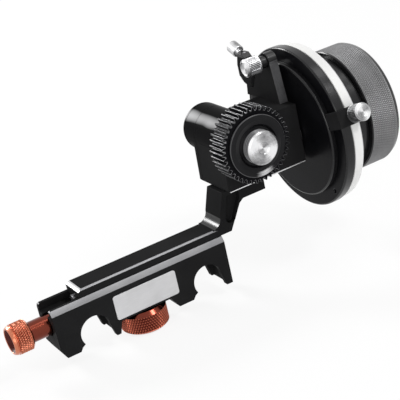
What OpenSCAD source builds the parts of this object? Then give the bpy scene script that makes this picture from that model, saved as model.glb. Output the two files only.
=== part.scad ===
// Follow focus unit for 15 mm support rods: a rod clamp, a sliding arm, a right-angle gearbox,
// a toothed drive gear and a handwheel with adjustable stops.
// The origin is the centre of the left rod seat, half way through the clamp's depth.
// +X runs along the clamp towards the handwheel, +Y to the back, +Z up. Millimetres.

/* [Rod clamp] */
// Diameter of the support rods
rod_d = 15; // [13:0.5:16]
// Distance between the two rod axes
rod_gap = 60; // [56:1:70]
// Depth of the clamp along the rods
clamp_depth = 17.5; // [16.5:0.5:24]
// Height of the clamp's top above the rod axes
clamp_top = 17.5; // [17:0.5:22]
// Wall from the left rod seat to the left end
end_wall_left = 10.9; // [9:0.1:16]
// Wall from the right rod seat to the right end
end_wall_right = 5.1; // [4:0.1:8]
// Depth of the feet below the rod axes
foot_drop = 6.7; // [5.5:0.1:7]
// Underside of the clamp between the feet, below the rod axes
belly_drop = 0.9; // [0:0.1:2]
// Width of the chamfer seen from the front along the top edges
top_chamfer = 1.55; // [0.5:0.05:1.8]
// Height of the chamfer seen from the front along the top edges
top_chamfer_h = 2.5; // [1:0.1:3.5]
// Width of the relief pocket behind each right jaw
relief_w = 11.5; // [8:0.5:13]

/* [Dovetail] */
// Width of the dovetail channel at the top
channel_w = 10.5; // [9:0.1:11]
// Width of the dovetail channel at its floor
channel_base_w = 13.2; // [11:0.1:14]
// Depth of the dovetail channel
channel_depth = 4.1; // [3:0.1:4.5]
// Gap between the arm's foot and the channel
slide_clearance = 0.12; // [0.08:0.01:0.25]

/* [Nameplate] */
// Length of the plain plate on the front
plate_len = 32.8; // [24:0.1:36]
// Height of the plain plate on the front
plate_h = 12.1; // [8:0.1:13]
// Thickness of the plain plate
plate_t = 0.5; // [0.3:0.1:1]

/* [Lock knobs] */
// Height of the side screw above the rod axes
side_z = 8.5; // [8:0.1:9.5]
// Diameter of the side knob's head
side_head_d = 14.6; // [12:0.1:18]
// Length of the side knob's head
side_head_len = 9.8; // [7:0.1:14]
// Diameter of the side knob's collar
side_collar_d = 9.8; // [9:0.1:10]
// Length of the side knob's collar outside the clamp
side_collar_len = 9.2; // [5:0.1:14]
// Diameter of the lock screws
lock_screw_d = 6; // [5:0.5:6]
// Diameter of the bottom knob
bottom_head_d = 23; // [18:0.5:26]
// Thickness of the bottom knob
bottom_head_h = 10.9; // [6:0.1:14]
// Distance of the bottom knob from the left rod axis
bottom_x = 27.5; // [26:0.5:31]
// Diameter of the shoe that presses the arm
shoe_d = 8; // [7:0.5:9]
// Travel of the pad on the rod when tightened
pad_travel = 1.5; // [1:0.1:1.8]

/* [Arm] */
// Length of the sliding arm
arm_len = 81.5; // [76:0.5:92]
// Width of the sliding arm
arm_w = 14.2; // [13.5:0.1:15]
// Thickness of the arm above the clamp
arm_t = 3.9; // [2:0.1:5]
// Left end of the arm, from the left rod axis
arm_x0 = -3; // [-5:0.5:2]
// Height from the arm's top to the gearbox
stem_h = 16.2; // [14:0.1:26]
// Thickness of the flange under the gearbox
flange_t = 6.7; // [5:0.1:8]
// Depth of the pocket in the front of the stem
stem_pocket = 3; // [1:0.5:5]

/* [Gearbox] */
// Width of the gearbox housing
box_w = 44; // [43:0.5:46]
// Height of the gearbox housing
box_h = 29.9; // [29:0.1:33]
// Depth of the gearbox housing with its cover
box_depth = 27; // [26:0.5:32]
// Thickness of the housing walls
box_wall = 3; // [2.4:0.1:3.2]
// Distance of the drive shaft from the housing's left side
drive_in = 12; // [11.5:0.1:12.5]
// Height of the handwheel axis above the housing's base
wheel_up = 13.45; // [13.2:0.05:13.8]
// Height of the drive shaft above the handwheel axis
drive_up = 9.7; // [9:0.1:10.5]
// Diameter of the boss round the drive shaft
boss_d = 23; // [21:0.5:23.5]
// Length of the boss behind the housing
boss_len = 8; // [7:0.5:14]

/* [Gears] */
// Module of all the teeth
gear_module = 0.8; // [0.75:0.01:0.8]
// Teeth of the drive gear
drive_teeth = 43; // [40:1:45]
// Teeth of the gear on the cross shaft
cross_teeth = 24; // [23:1:24]
// Teeth of the pinion on the drive shaft
pinion_teeth = 16; // [15:1:16]
// Teeth of each bevel gear
bevel_teeth = 16; // [15:1:16]
// Face width of the drive gear
drive_face = 11.3; // [8:0.1:12]
// Face width of the inner spur gears
spur_face = 3.4; // [2.5:0.1:3.6]
// Length of the bevel teeth along their shaft
bevel_face = 2.2; // [1.6:0.1:2.6]

/* [Drive gear front] */
// Diameter of the flange in front of the drive gear
gear_flange_d = 29.4; // [24:0.2:32]
// Thickness of the flange in front of the drive gear
gear_flange_t = 1.94; // [1.2:0.02:3]
// Diameter of the thumb screw that holds the gear
thumb_d = 15.9; // [13:0.1:18]
// Distance that the thumb screw stands out of the flange
thumb_out = 4.5; // [3:0.1:8]

/* [Shafts] */
// Diameter of the drive and handwheel shafts
shaft_d = 6; // [5.5:0.1:6]
// Diameter of the cross shaft
cross_d = 5; // [4.5:0.1:5]
// Outer diameter of the ball bearings
bearing_d = 12; // [11.5:0.1:12]
// Width of the ball bearings
bearing_w = 4; // [3.5:0.1:4]
// Running clearance on the radius of shafts and screws
run = 0.03; // [0.02:0.01:0.06]

/* [Handwheel] */
// Radius of the handwheel's rim disc
disc_r = 40.25; // [39:0.25:44]
// Thickness of the rim disc
disc_t = 5; // [4:0.1:6]
// Radius of the raised hub on the rim disc
hub_r = 33.7; // [30:0.1:33.7]
// Height of the raised hub
hub_t = 3; // [2.8:0.1:3.2]
// Radius of the white marking ring
ring_r = 39.5; // [37.5:0.1:40]
// Width of the white marking ring
ring_w = 4.6; // [3:0.1:6]
// Width of the groove between the disc and the marking ring
groove_w = 0.7; // [0.4:0.1:1]
// Radius of the handwheel's neck
neck_r = 28; // [27:0.1:29]
// Thickness of the marking ring, from its bore to its rim
ring_wall = 5.5; // [4.5:0.1:6]
// Length of the neck between the marking ring and the grip
neck_len = 11.45; // [9:0.05:16]
// Radius of the knurled grip
grip_r = 30.7; // [29.5:0.1:33]
// Length of the knurled grip
grip_len = 18; // [12:0.05:24]

/* [Stops] */
// Angle of the first stop, from the front upwards
stop_a_angle = 17; // [10:1:24]
// Angle of the second stop, from the front upwards
stop_b_angle = 205; // [200:1:210]
// Width of the stop clamps along the rim
stop_w = 8; // [6:0.1:8.4]
// Diameter of the small knurled screws on the stops
stop_screw_d = 8.4; // [6:0.1:9]
// Length of the small knurled screws on the stops
stop_screw_len = 9; // [6:0.1:12]

/* [Stop bracket] */
// Thickness of the stop bracket
bracket_t = 4.6; // [4:0.1:4.6]
// Height of the stop pin above the gearbox
pin_up = 20.4; // [19.8:0.1:21.2]
// Diameter of the stop pin
pin_d = 4; // [3:0.1:4]
// Travel of the stop pin
pin_travel = 3; // [2:0.1:3.2]
// Diameter of the stop pin's knurled knob
pin_knob_d = 8.6; // [7:0.1:10]
// Length of the stop pin's knurled knob
pin_knob_len = 8; // [6:0.1:10]

/* [Hidden] */
$fn = 96;
eps = 0.01;

rod_r = rod_d / 2;
foot_in = rod_r + 1.8;
foot_out = foot_in + 6.8;
clamp_x0 = -(rod_r + end_wall_left);
clamp_x1 = rod_gap + rod_r + end_wall_right;
lip_angle = 31.6;
channel_floor = clamp_top - channel_depth;

side_hole_r = side_collar_d / 2 + 0.5;
side_hole_depth = 5;
side_collar_in = 3.4;
screw_r = lock_screw_d / 2;
pad_r = screw_r - 0.1;
pad_rear_x = -(rod_r + 2.4);
pad_gap = pad_travel * cos(45) + 0.06;

shoe_t = 3.4;
shoe_top = channel_floor - 0.3;
shoe_pocket_z = shoe_top - shoe_t - 0.25;
bottom_head_z1 = -belly_drop - 0.3;

arm_z0 = clamp_top + slide_clearance;
arm_z1 = arm_z0 + arm_t;
arm_x1 = arm_x0 + arm_len;
flange_x1 = arm_x1 + 22.3;
box_z0 = arm_z1 + stem_h;
stem_fillet = 5;
pocket_r = 2.6;
arm_bevel = 0.8;
arm_end_bevel = [1.9, 1.2];

box_x0 = arm_x1 + 0.4;
box_x1 = box_x0 + box_w;
box_y0 = -11.75;
box_y1 = box_y0 + box_depth;
box_z1 = box_z0 + box_h;
cover_t = box_wall;
cover_y = box_y1 - cover_t;
cavity_y0 = box_y0 + box_wall;
box_edge = 0.8;
boss_r = boss_d / 2;
wheel_z = box_z0 + wheel_up;
drive_x = box_x0 + drive_in;
drive_z = wheel_z + drive_up;
centre_dist = gear_module * (cross_teeth + pinion_teeth) / 2 + 0.02;
cross_x = drive_x + sqrt(centre_dist * centre_dist - drive_up * drive_up);
mesh_angle = atan2(drive_up, drive_x - cross_x);
bevel_r = gear_module * bevel_teeth / 2;

shaft_r = shaft_d / 2;
cross_r = cross_d / 2;
bearing_r = bearing_d / 2;
spur_y = cover_y - spur_face - 0.6;
front_bearing_y = box_y0;
rear_bearing_y = cover_y + 0.8;
boss_y1 = box_y1 + boss_len;
rear_cap_t = 2;
cross_bush_len = box_wall - 1;
cross_bush_r = cross_r + 1.5;
cross_y0 = box_y0 + 0.9;
cross_y1 = box_y1 - 0.9;
cap_screw_circle = boss_r - 2.9;
bearing_screw_circle = bearing_r + 2.6;
bearing_cover_r = bearing_r + 4.6;

gear_back_y = box_y0 - 1.36;
gear_front_y = gear_back_y - drive_face;
flange_y = gear_front_y - gear_flange_t;
gear_hub_r = 7;
thumb_r = thumb_d / 2;
thumb_seat = 3;
thumb_y = flange_y - thumb_out;
gear_tip_r = gear_module * (drive_teeth + 2) / 2;

hub_x = box_x1 + 1.6;
disc_x = hub_x + hub_t;
groove_x = disc_x + disc_t;
ring_x = groove_x + groove_w;
retainer_x = ring_x + ring_w;
retainer_w = 1.1;
neck_x = retainer_x + retainer_w;
grip_x = neck_x + neck_len;
wheel_x1 = grip_x + grip_len;
ring_seat_r = ring_r - ring_wall;
step_r = ring_seat_r - 1;
grip_core_r = grip_r - 3;
wheel_bearing_x = box_x1 - 2 * bearing_w - 0.2;
cap_r = 9;
rim_r = max(disc_r, ring_r);
rim_gap = 0.15;
wheel_screw_r = 16;
wheel_screw_head = 1.9;

stop_leg_t = hub_t - 0.3;
stop_r0 = hub_r + 0.5;
stop_r1 = rim_r + 4.25;
stop_x1 = neck_x - 0.2;
bridge_r0 = rim_r + rim_gap;

bracket_x1 = box_x1 - 0.3;
bracket_x0 = bracket_x1 - bracket_t;
pin_y = 0.7;
pin_z = box_z1 + pin_up;
pin_neck_r = 3;
pin_top_r = pin_neck_r + 1;
pin_knob_x1 = bracket_x0 - pin_travel - 0.5;
lobe_y = 20.4;
lobe_z = box_z1 + 12;
lobe_r = 6.9;
block_z = lobe_z + lobe_r;
block_h = 1.9;
block_screw_y = lobe_y + 2;
block_screw_r = 0.5;
block_screw_head = 0.6;
lock_tilt = 22;
lock_r = 0.9;
lock_shank = 1.6;

// ---------- helpers ----------

// Sets a flat outline up so that its x runs along X, its y along Z and its thickness along +Y.
module along_y(y0, len) {
    translate([0, y0 + len, 0]) rotate([90, 0, 0]) linear_extrude(len) children();
}

// Sets a flat outline up so that its x runs along Y, its y along Z and its thickness along +X.
module along_x(x0, len) {
    translate([x0, 0, 0]) rotate([90, 0, 90]) linear_extrude(len) children();
}

// Round bar along +X from x0, centred on y and z.
module bar_x(x0, len, r, y = 0, z = 0) {
    translate([x0, y, z]) rotate([0, 90, 0]) cylinder(h = len, r = r);
}

// Round bar along +Y from y0, centred on x and z.
module bar_y(y0, len, r, x = 0, z = 0) {
    translate([x, y0, z]) rotate([-90, 0, 0]) cylinder(h = len, r = r);
}

// Turned piece about X: each point of the profile is [distance along X, radius].
module turned_x(profile, y = 0, z = 0) {
    translate([0, y, z]) rotate([0, 90, 0]) rotate_extrude() polygon([for (p = profile) [p[1], p[0]]]);
}

// Turned piece about Y: each point of the profile is [distance along Y, radius].
module turned_y(profile, x = 0, z = 0) {
    translate([x, 0, z]) rotate([-90, 0, 0]) rotate_extrude() polygon([for (p = profile) [p[1], p[0]]]);
}

// Rounded rectangle in the plane of the outline.
module rounded_plate(x, y, w, h, r) {
    translate([x, y]) union() {
        translate([r, 0]) square([w - 2 * r, h]);
        translate([0, r]) square([w, h - 2 * r]);
        for (cx = [r, w - r], cy = [r, h - r]) translate([cx, cy]) circle(r = r, $fn = 32);
    }
}

// Gear outline with one tooth centred on the x axis. land_share is the tooth's share of the pitch.
module gear_outline(teeth, module_size, addendum, dedendum, land_share) {
    pitch_r = module_size * teeth / 2;
    step = 360 / teeth;
    root = step * (land_share / 2 + 0.14);
    flank = step * land_share / 2;
    tip = step * (land_share / 2 - 0.13);
    polygon([for (i = [0 : teeth - 1]) each [
        for (p = [[pitch_r - dedendum, -root], [pitch_r, -flank], [pitch_r + addendum, -tip],
                  [pitch_r + addendum, tip], [pitch_r, flank], [pitch_r - dedendum, root]])
            let (a = i * step + p[1]) [p[0] * cos(a), p[0] * sin(a)]]]);
}

// Cap screw of shank radius r along -Z with its head's top at z = 0.
module cap_screw(r, head_r, head_h, len) {
    difference() {
        union() {
            translate([0, 0, -head_h]) cylinder(h = head_h, r = head_r, $fn = 48);
            translate([0, 0, -head_h - len]) cylinder(h = len + eps, r = r, $fn = 48);
        }
        translate([0, 0, -head_h * 0.6]) cylinder(h = head_h, r = head_r * 0.5, $fn = 6);
    }
}

// ---------- rod clamp ----------

// Front view of the clamp: two open rod seats with a lip under each rod's left side.
module clamp_outline() {
    difference() {
        polygon([[clamp_x0, clamp_top], [clamp_x0, -foot_drop + 4.6], [-foot_out, -foot_drop],
                 [foot_in + 2.1, -foot_drop], [foot_in + 3.9, -belly_drop],
                 [rod_gap - foot_out - 4.5, -belly_drop], [rod_gap - foot_out - 1, -foot_drop],
                 [clamp_x1, -foot_drop], [clamp_x1, clamp_top]]);
        for (x = [0, rod_gap]) translate([x, 0]) {
            circle(r = rod_r);
            polygon([[-foot_in, -foot_drop - 1], [-foot_in, -foot_drop], [-foot_in + 1.2, -foot_drop + 1.7],
                     [-rod_r * cos(lip_angle), -rod_r * sin(lip_angle)], [0, 0], [rod_r, 0],
                     [foot_in, -foot_drop], [foot_in, -foot_drop - 1]]);
        }
    }
}

module rod_clamp() {
    half = clamp_depth / 2;
    color([0.09, 0.09, 0.1]) difference() {
        along_y(-half, clamp_depth) clamp_outline();
        // sloped top edges, front and back
        for (s = [0, 1]) mirror([0, s, 0]) along_x(clamp_x0 - 1, clamp_x1 - clamp_x0 + 2)
            polygon([[-half - 1, clamp_top + 1], [-half - 1, clamp_top - top_chamfer_h],
                     [-half, clamp_top - top_chamfer_h], [-half + top_chamfer, clamp_top],
                     [-half + top_chamfer, clamp_top + 1]]);
        // dovetail channel
        along_x(clamp_x0 - 1, clamp_x1 - clamp_x0 + 2)
            polygon([[-channel_w / 2, clamp_top + eps], [-channel_base_w / 2, channel_floor],
                     [channel_base_w / 2, channel_floor], [channel_w / 2, clamp_top + eps]]);
        // bevel along the left top edge
        along_y(-clamp_depth, 2 * clamp_depth)
            polygon([[clamp_x0 - 1, clamp_top + 1], [clamp_x0 - 1, clamp_top - 1.6],
                     [clamp_x0, clamp_top - 0.6], [clamp_x0 + 0.6, clamp_top],
                     [clamp_x0 + 1.6, clamp_top + 1]]);
        // relief behind each right jaw
        for (x = [0, rod_gap]) translate([x + rod_r - 2.5, -relief_w / 2, -foot_drop - 1])
            cube([5.5, relief_w, foot_drop + 6]);
        // side screw
        bar_x(clamp_x0 - 1, side_hole_depth + 1, side_hole_r, 0, side_z);
        bar_x(clamp_x0, end_wall_left - 1, screw_r + 1.2, 0, side_z);
        bar_x(pad_rear_x - 0.3, 2 - pad_rear_x, pad_r + 0.05, 0, side_z);
        // bottom screw and shoe
        translate([bottom_x, 0, -belly_drop - 1]) cylinder(h = channel_floor, r = screw_r + 1.2);
        translate([bottom_x, 0, shoe_pocket_z]) cylinder(h = channel_floor, r = shoe_d / 2 + 0.05);
    }
}

module nameplate() {
    color([0.78, 0.78, 0.8]) along_y(-clamp_depth / 2 - plate_t, plate_t)
        rounded_plate(rod_gap / 2 - plate_len / 2 - 2.34, 0.3, plate_len, plate_h, 1.2);
}

// Threaded steel bush that the side screw runs in.
module side_bush() {
    x0 = clamp_x0 + side_hole_depth;
    color([0.55, 0.55, 0.57]) difference() {
        bar_x(x0, -x0 + clamp_x0 + end_wall_left - 1, screw_r + 1.2, 0, side_z);
        bar_x(x0 - 1, end_wall_left, screw_r + run, 0, side_z);
    }
}

module side_knob() {
    r = side_head_d / 2;
    c = side_collar_d / 2;
    x1 = clamp_x0 - side_collar_len;
    x0 = x1 - side_head_len;
    color([0.78, 0.25, 0.14]) difference() {
        turned_x([[x0 + 2.2, 0], [x0 + 2.2, r - 2.8], [x0, r - 1.6], [x0 + 0.2, r - 0.9], [x0 + 1.5, r - 0.3],
                  [x0 + 1.6, r - 0.8], [x0 + 2.1, r - 0.8], [x0 + 2.2, r], [x1 - 1.1, r], [x1, r - 1.4],
                  [x1, c], [clamp_x0 + side_collar_in, c], [clamp_x0 + side_collar_in, 0]], 0, side_z);
        bar_x(x0 + 4, side_head_len + side_collar_len + side_collar_in, screw_r, 0, side_z);
    }
}

module side_screw() {
    x0 = clamp_x0 - side_collar_len - side_head_len + 4;
    color([0.6, 0.6, 0.62]) union() {
        bar_x(x0, pad_rear_x - 0.35 - x0, screw_r, 0, side_z);
        bar_x(pad_rear_x - 0.4, 1.6, screw_r / 2, 0, side_z);
    }
}

// Brass pad with a bevelled nose, square to the line through the rod's axis at 45 degrees.
module side_pad() {
    nose = (rod_r + pad_gap) * sqrt(2);
    color([0.75, 0.6, 0.3]) difference() {
        bar_x(pad_rear_x, rod_r + 4, pad_r, 0, side_z);
        bar_x(pad_rear_x - 1, 2.4 + pad_travel, screw_r / 2 + 0.1, 0, side_z);
        along_y(-pad_r - 1, 2 * pad_r + 2)
            polygon([[-nose, 0], [-nose + side_z + pad_r + 2, side_z + pad_r + 2],
                     [rod_r + 8, side_z + pad_r + 2], [rod_r + 8, 0]]);
    }
}

// Threaded steel bush that the bottom screw runs in.
module bottom_bush() {
    color([0.55, 0.55, 0.57]) difference() {
        translate([bottom_x, 0, -belly_drop]) cylinder(h = shoe_pocket_z + belly_drop, r = screw_r + 1.2);
        translate([bottom_x, 0, -belly_drop - 1]) cylinder(h = clamp_top, r = screw_r + run);
    }
}

module bottom_knob() {
    r = bottom_head_d / 2;
    z1 = bottom_head_z1;
    z0 = z1 - bottom_head_h;
    color([0.78, 0.25, 0.14]) difference() {
        translate([bottom_x, 0, 0]) rotate_extrude()
            polygon([[0, z0 + 0.8], [r * 0.55, z0 + 0.8], [r * 0.6, z0], [r - 1.3, z0], [r, z0 + 1.1],
                     [r, z1 - 1.9], [r - 1.6, z1], [0, z1]]);
        translate([bottom_x, 0, z0 + 2.5]) cylinder(h = bottom_head_h, r = screw_r);
    }
}

module bottom_screw() {
    z0 = bottom_head_z1 - bottom_head_h + 2.5;
    tip_z = shoe_pocket_z + 0.2;
    color([0.6, 0.6, 0.62]) translate([bottom_x, 0, 0]) union() {
        translate([0, 0, z0]) cylinder(h = tip_z - z0, r = screw_r);
        translate([0, 0, tip_z - eps]) cylinder(h = 1.2, r = screw_r / 2);
    }
}

module lock_shoe() {
    color([0.75, 0.6, 0.3]) difference() {
        translate([bottom_x, 0, shoe_top - shoe_t]) cylinder(h = shoe_t, r = shoe_d / 2);
        translate([bottom_x, 0, shoe_top - shoe_t - 1]) cylinder(h = 2.6, r = screw_r / 2 + 0.1);
    }
}

// ---------- arm ----------

// Front view of the stem: it leans to the right and widens into the flange under the gearbox.
module stem_outline() {
    foot_x = arm_x1 - 4.5;
    difference() {
        polygon([[foot_x - stem_fillet, arm_z1 - eps], [foot_x - stem_fillet, arm_z1],
                 [foot_x, arm_z1 + stem_fillet],
                 [arm_x1 - 0.9, box_z0], [flange_x1, box_z0], [flange_x1, box_z0 - flange_t],
                 [arm_x1 + 9.5, box_z0 - flange_t], [arm_x1 + 7.2, box_z0 - flange_t - 1.6],
                 [arm_x1 + stem_h / 8, arm_z1 - 0.6], [arm_x1, arm_z0]]);
        translate([foot_x - stem_fillet, arm_z1 + stem_fillet]) circle(r = stem_fillet);
    }
}

module arm() {
    h = arm_w / 2;
    foot_top = channel_w / 2 - slide_clearance * 1.3;
    foot_base = channel_base_w / 2 - slide_clearance * 1.3;
    color([0.1, 0.1, 0.11]) difference() {
        union() {
            along_x(arm_x0, arm_len)
                polygon([[-h, arm_z0], [-h, arm_z1 - arm_bevel], [-h + arm_bevel, arm_z1],
                         [h - arm_bevel, arm_z1], [h, arm_z1 - arm_bevel], [h, arm_z0]]);
            // dovetail foot, as long as the clamp's channel reaches
            along_x(arm_x0, clamp_x1 - arm_x0 - 1)
                polygon([[-foot_base, channel_floor + slide_clearance], [-foot_top, arm_z0 + eps],
                         [foot_top, arm_z0 + eps], [foot_base, channel_floor + slide_clearance]]);
            along_y(-h, arm_w) stem_outline();
        }
        // slope at the left end of the top
        along_y(-arm_w, 2 * arm_w)
            polygon([[arm_x0 - arm_end_bevel[0], arm_z1 - 2 * arm_end_bevel[1]],
                     [arm_x0 + 2 * arm_end_bevel[0], arm_z1 + arm_end_bevel[1]],
                     [arm_x0 - arm_end_bevel[0], arm_z1 + arm_end_bevel[1]]]);
        // recess with a round foot in the front of the stem
        along_y(-h - eps, stem_pocket) {
            translate([arm_x1 + 0.8, arm_z1 + 2.9]) circle(r = pocket_r, $fn = 48);
            polygon([[arm_x1 + 0.8 - pocket_r, arm_z1 + 2.9], [arm_x1 + 0.8 + pocket_r, arm_z1 + 2.5],
                     [arm_x1 + 7.6, arm_z1 + stem_h - 5.5], [arm_x1 + 7.8, arm_z1 + stem_h - 2.2],
                     [arm_x1 + 1, arm_z1 + stem_h - 2.2]]);
        }
        // screw holes up through the flange, with seats under it
        for (x = mount_x, y = mount_y) translate([x, y, arm_z0]) {
            cylinder(h = stem_h + arm_t + 1, r = 1.3, $fn = 48);
            cylinder(h = box_z0 - 4.2 - arm_z0, r = 2.4, $fn = 48);
        }
        // end stop screw in the left end of the foot
        bar_x(arm_x0 - 1, 8, 1.2, 0, channel_floor + channel_depth / 2);
    }
}

// Two rows of screws that hold the gearbox on the flange.
mount_x = [arm_x1 + 13, arm_x1 + 17.5];
mount_y = [-4, 4];

module mounting_screws() {
    color([0.6, 0.6, 0.62]) for (x = mount_x, y = mount_y)
        translate([x, y, box_z0 - 4.25 - 1.6]) mirror([0, 0, 1]) cap_screw(1.25, 2.2, 1.6, 6.2);
}

module arm_stop_screw() {
    z = channel_floor + channel_depth / 2;
    color([0.6, 0.6, 0.62]) difference() {
        union() {
            bar_x(arm_x0 - 1.3, 1.3, 1.9, 0, z);
            bar_x(arm_x0 - eps, 6, 1.15, 0, z);
        }
        bar_x(arm_x0 - 1.4, 0.8, 0.9, 0, z, $fn = 6);
    }
}

// ---------- gearbox ----------

// Front view of the housing: a block whose upper left corner grows round the drive shaft.
module box_outline() {
    union() {
        polygon([[box_x0 + 1.2, box_z0], [box_x1 - 0.4, box_z0], [box_x1, box_z0 + 0.4],
                 [box_x1, box_z1 - 0.4], [box_x1 - 0.4, box_z1], [drive_x, box_z1],
                 [drive_x - boss_r + 0.3, drive_z - 2.5],
                 [box_x0, box_z0 + 1.2]]);
        translate([drive_x, drive_z]) circle(r = boss_r);
    }
}

// The space inside the housing, seen from the front.
module cavity_outline() {
    union() {
        translate([box_x0 + box_wall, box_z0 + 2.2])
            square([box_w - 2 * box_wall - 0.4, box_h - 2.2 - box_wall]);
        translate([drive_x, drive_z]) circle(r = pinion_clear_r);
    }
}
pinion_clear_r = gear_module * (pinion_teeth + 2) / 2 + 0.9;

cover_screw_at = [[box_x0 + 2.9, box_z0 + 3], [box_x1 - 3, box_z0 + 3], [box_x1 - 3, box_z1 - 3],
                  [cross_x + 3, box_z1 - 3]];

module gearbox_housing() {
    color([0.1, 0.1, 0.11]) difference() {
        union() {
            difference() {
                along_y(box_y0, box_depth - cover_t) box_outline();
                along_y(cavity_y0, box_depth) cavity_outline();
            }
            // inner bosses for the bearings
            bar_y(box_y0 + 0.5, bearing_w + 1, bearing_r + 2, drive_x, drive_z);
            bar_x(wheel_bearing_x - 1, box_x1 - wheel_bearing_x - 0.5, bearing_r + 2, 0, wheel_z);
            // corner posts for the cover screws
            for (p = cover_screw_at) bar_y(box_y0 + 0.5, cover_y - box_y0 - 0.5, 2.6, p[0], p[1]);
        }
        // bare bevel along the front lower edge
        along_x(box_x0 - 1, box_w + 2)
            polygon([[box_y0 - 1, box_z0 - 1], [box_y0 + box_edge + 1, box_z0 - 1],
                     [box_y0 - 1, box_z0 + box_edge + 1]]);
        bar_y(front_bearing_y - 1, bearing_w + 1, bearing_r, drive_x, drive_z);
        bar_y(front_bearing_y, bearing_w + 3, bearing_r - 1.4, drive_x, drive_z);
        bar_x(wheel_bearing_x, box_x1 - wheel_bearing_x + 1, bearing_r, 0, wheel_z);
        bar_x(wheel_bearing_x - 2, 3, bearing_r - 1.4, 0, wheel_z);
        bar_y(cross_y0, 6, cross_bush_r, cross_x, wheel_z);
        for (p = cover_screw_at) bar_y(cover_y - 7, 8, 1, p[0], p[1]);
        for (x = mount_x, y = mount_y) translate([x, y, box_z0 - 1]) cylinder(h = 3.4, r = 1.25, $fn = 48);
        for (a = [90, 210, 330]) bar_x(box_x1 - 3, 4, 0.8, bearing_screw_circle * cos(a),
                                       wheel_z + bearing_screw_circle * sin(a));
        for (y = bracket_stud_y) translate([(bracket_x0 + bracket_x1) / 2, y, box_z1 - 2.9])
            cylinder(h = 4, r = stud_r, $fn = 48);
    }
}

module gearbox_cover() {
    color([0.12, 0.12, 0.13]) difference() {
        union() {
            along_y(cover_y, cover_t) box_outline();
            bar_y(cover_y, cover_t + boss_len - rear_cap_t, boss_r, drive_x, drive_z);
        }
        bar_y(cover_y - 1, rear_bearing_y - cover_y + bearing_w + 1, bearing_r, drive_x, drive_z);
        bar_y(cover_y, boss_len + cover_t, bearing_r - 1.4, drive_x, drive_z);
        bar_y(cover_y - 1, cross_y1 - cover_y + 1, cross_bush_r, cross_x, wheel_z);
        for (p = cover_screw_at) {
            bar_y(cover_y - 1, cover_t + 2, 1.1, p[0], p[1]);
            bar_y(box_y1 - 1.5, 2, 2, p[0], p[1]);
        }
        for (a = [45 : 90 : 315]) bar_y(boss_y1 - rear_cap_t - 4, 5, 0.8,
                                        drive_x + cap_screw_circle * cos(a),
                                        drive_z + cap_screw_circle * sin(a));
    }
}

module cover_screws() {
    color([0.6, 0.6, 0.62]) for (p = cover_screw_at)
        translate([p[0], box_y1 - 0.1, p[1]]) rotate([-90, 0, 0]) cap_screw(0.98, 1.9, 1.4, 6);
}

module rear_cap() {
    y0 = boss_y1 - rear_cap_t;
    color([0.12, 0.12, 0.13]) union() {
        turned_y([[y0, 0], [y0, boss_r], [boss_y1 - 0.6, boss_r], [boss_y1, boss_r - 0.6], [boss_y1, 0]],
                 drive_x, drive_z);
        for (a = [45 : 90 : 315]) bar_y(y0 - 3, 3.1, 0.78, drive_x + cap_screw_circle * cos(a),
                                        drive_z + cap_screw_circle * sin(a));
    }
}

// Ball bearing as one ring with the grooves of its shields.
module bearing_profile_y(y0, x, z) {
    inner = shaft_r + run;
    turned_y([[y0, inner], [y0, inner + 0.9], [y0 + 0.4, inner + 0.9], [y0 + 0.4, bearing_r - 0.9],
              [y0, bearing_r - 0.9], [y0, bearing_r], [y0 + bearing_w, bearing_r],
              [y0 + bearing_w, bearing_r - 0.9], [y0 + bearing_w - 0.4, bearing_r - 0.9],
              [y0 + bearing_w - 0.4, inner + 0.9], [y0 + bearing_w, inner + 0.9],
              [y0 + bearing_w, inner]], x, z);
}

module front_bearing() {
    color([0.7, 0.7, 0.72]) bearing_profile_y(front_bearing_y, drive_x, drive_z);
}

module rear_bearing() {
    color([0.7, 0.7, 0.72]) bearing_profile_y(rear_bearing_y, drive_x, drive_z);
}

module wheel_bearings() {
    inner = shaft_r + run;
    color([0.7, 0.7, 0.72]) for (x = [wheel_bearing_x, wheel_bearing_x + bearing_w + 0.1])
        turned_x([[x, inner], [x, inner + 0.9], [x + 0.4, inner + 0.9], [x + 0.4, bearing_r - 0.9],
                  [x, bearing_r - 0.9], [x, bearing_r], [x + bearing_w, bearing_r],
                  [x + bearing_w, inner]], 0, wheel_z);
}

module bearing_cover() {
    color([0.3, 0.3, 0.32]) difference() {
        bar_x(box_x1, 0.8, bearing_cover_r, 0, wheel_z);
        bar_x(box_x1 - 1, 3, bearing_r - 1.4, 0, wheel_z);
        for (a = [90, 210, 330]) {
            y = bearing_screw_circle * cos(a);
            z = wheel_z + bearing_screw_circle * sin(a);
            bar_x(box_x1 - 1, 3, 0.8, y, z);
            turned_x([[box_x1 + 0.2, 0], [box_x1 + 0.2, 0.8], [box_x1 + 0.9, 1.5], [box_x1 + 0.9, 0]], y, z);
        }
    }
}

module bearing_cover_screws() {
    color([0.6, 0.6, 0.62]) for (a = [90, 210, 330])
        turned_x([[box_x1 - 2.8, 0], [box_x1 - 2.8, 0.78], [box_x1 + 0.2, 0.78], [box_x1 + 0.75, 1.32],
                  [box_x1 + 0.75, 0]], bearing_screw_circle * cos(a), wheel_z + bearing_screw_circle * sin(a));
}

module cross_bushes() {
    color([0.75, 0.6, 0.3]) for (y = [cross_y0, cross_y1 - cross_bush_len]) difference() {
        bar_y(y, cross_bush_len, cross_bush_r, cross_x, wheel_z);
        bar_y(y - 1, cross_bush_len + 2, cross_r + run, cross_x, wheel_z);
    }
}

// ---------- drive shaft ----------

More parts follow.
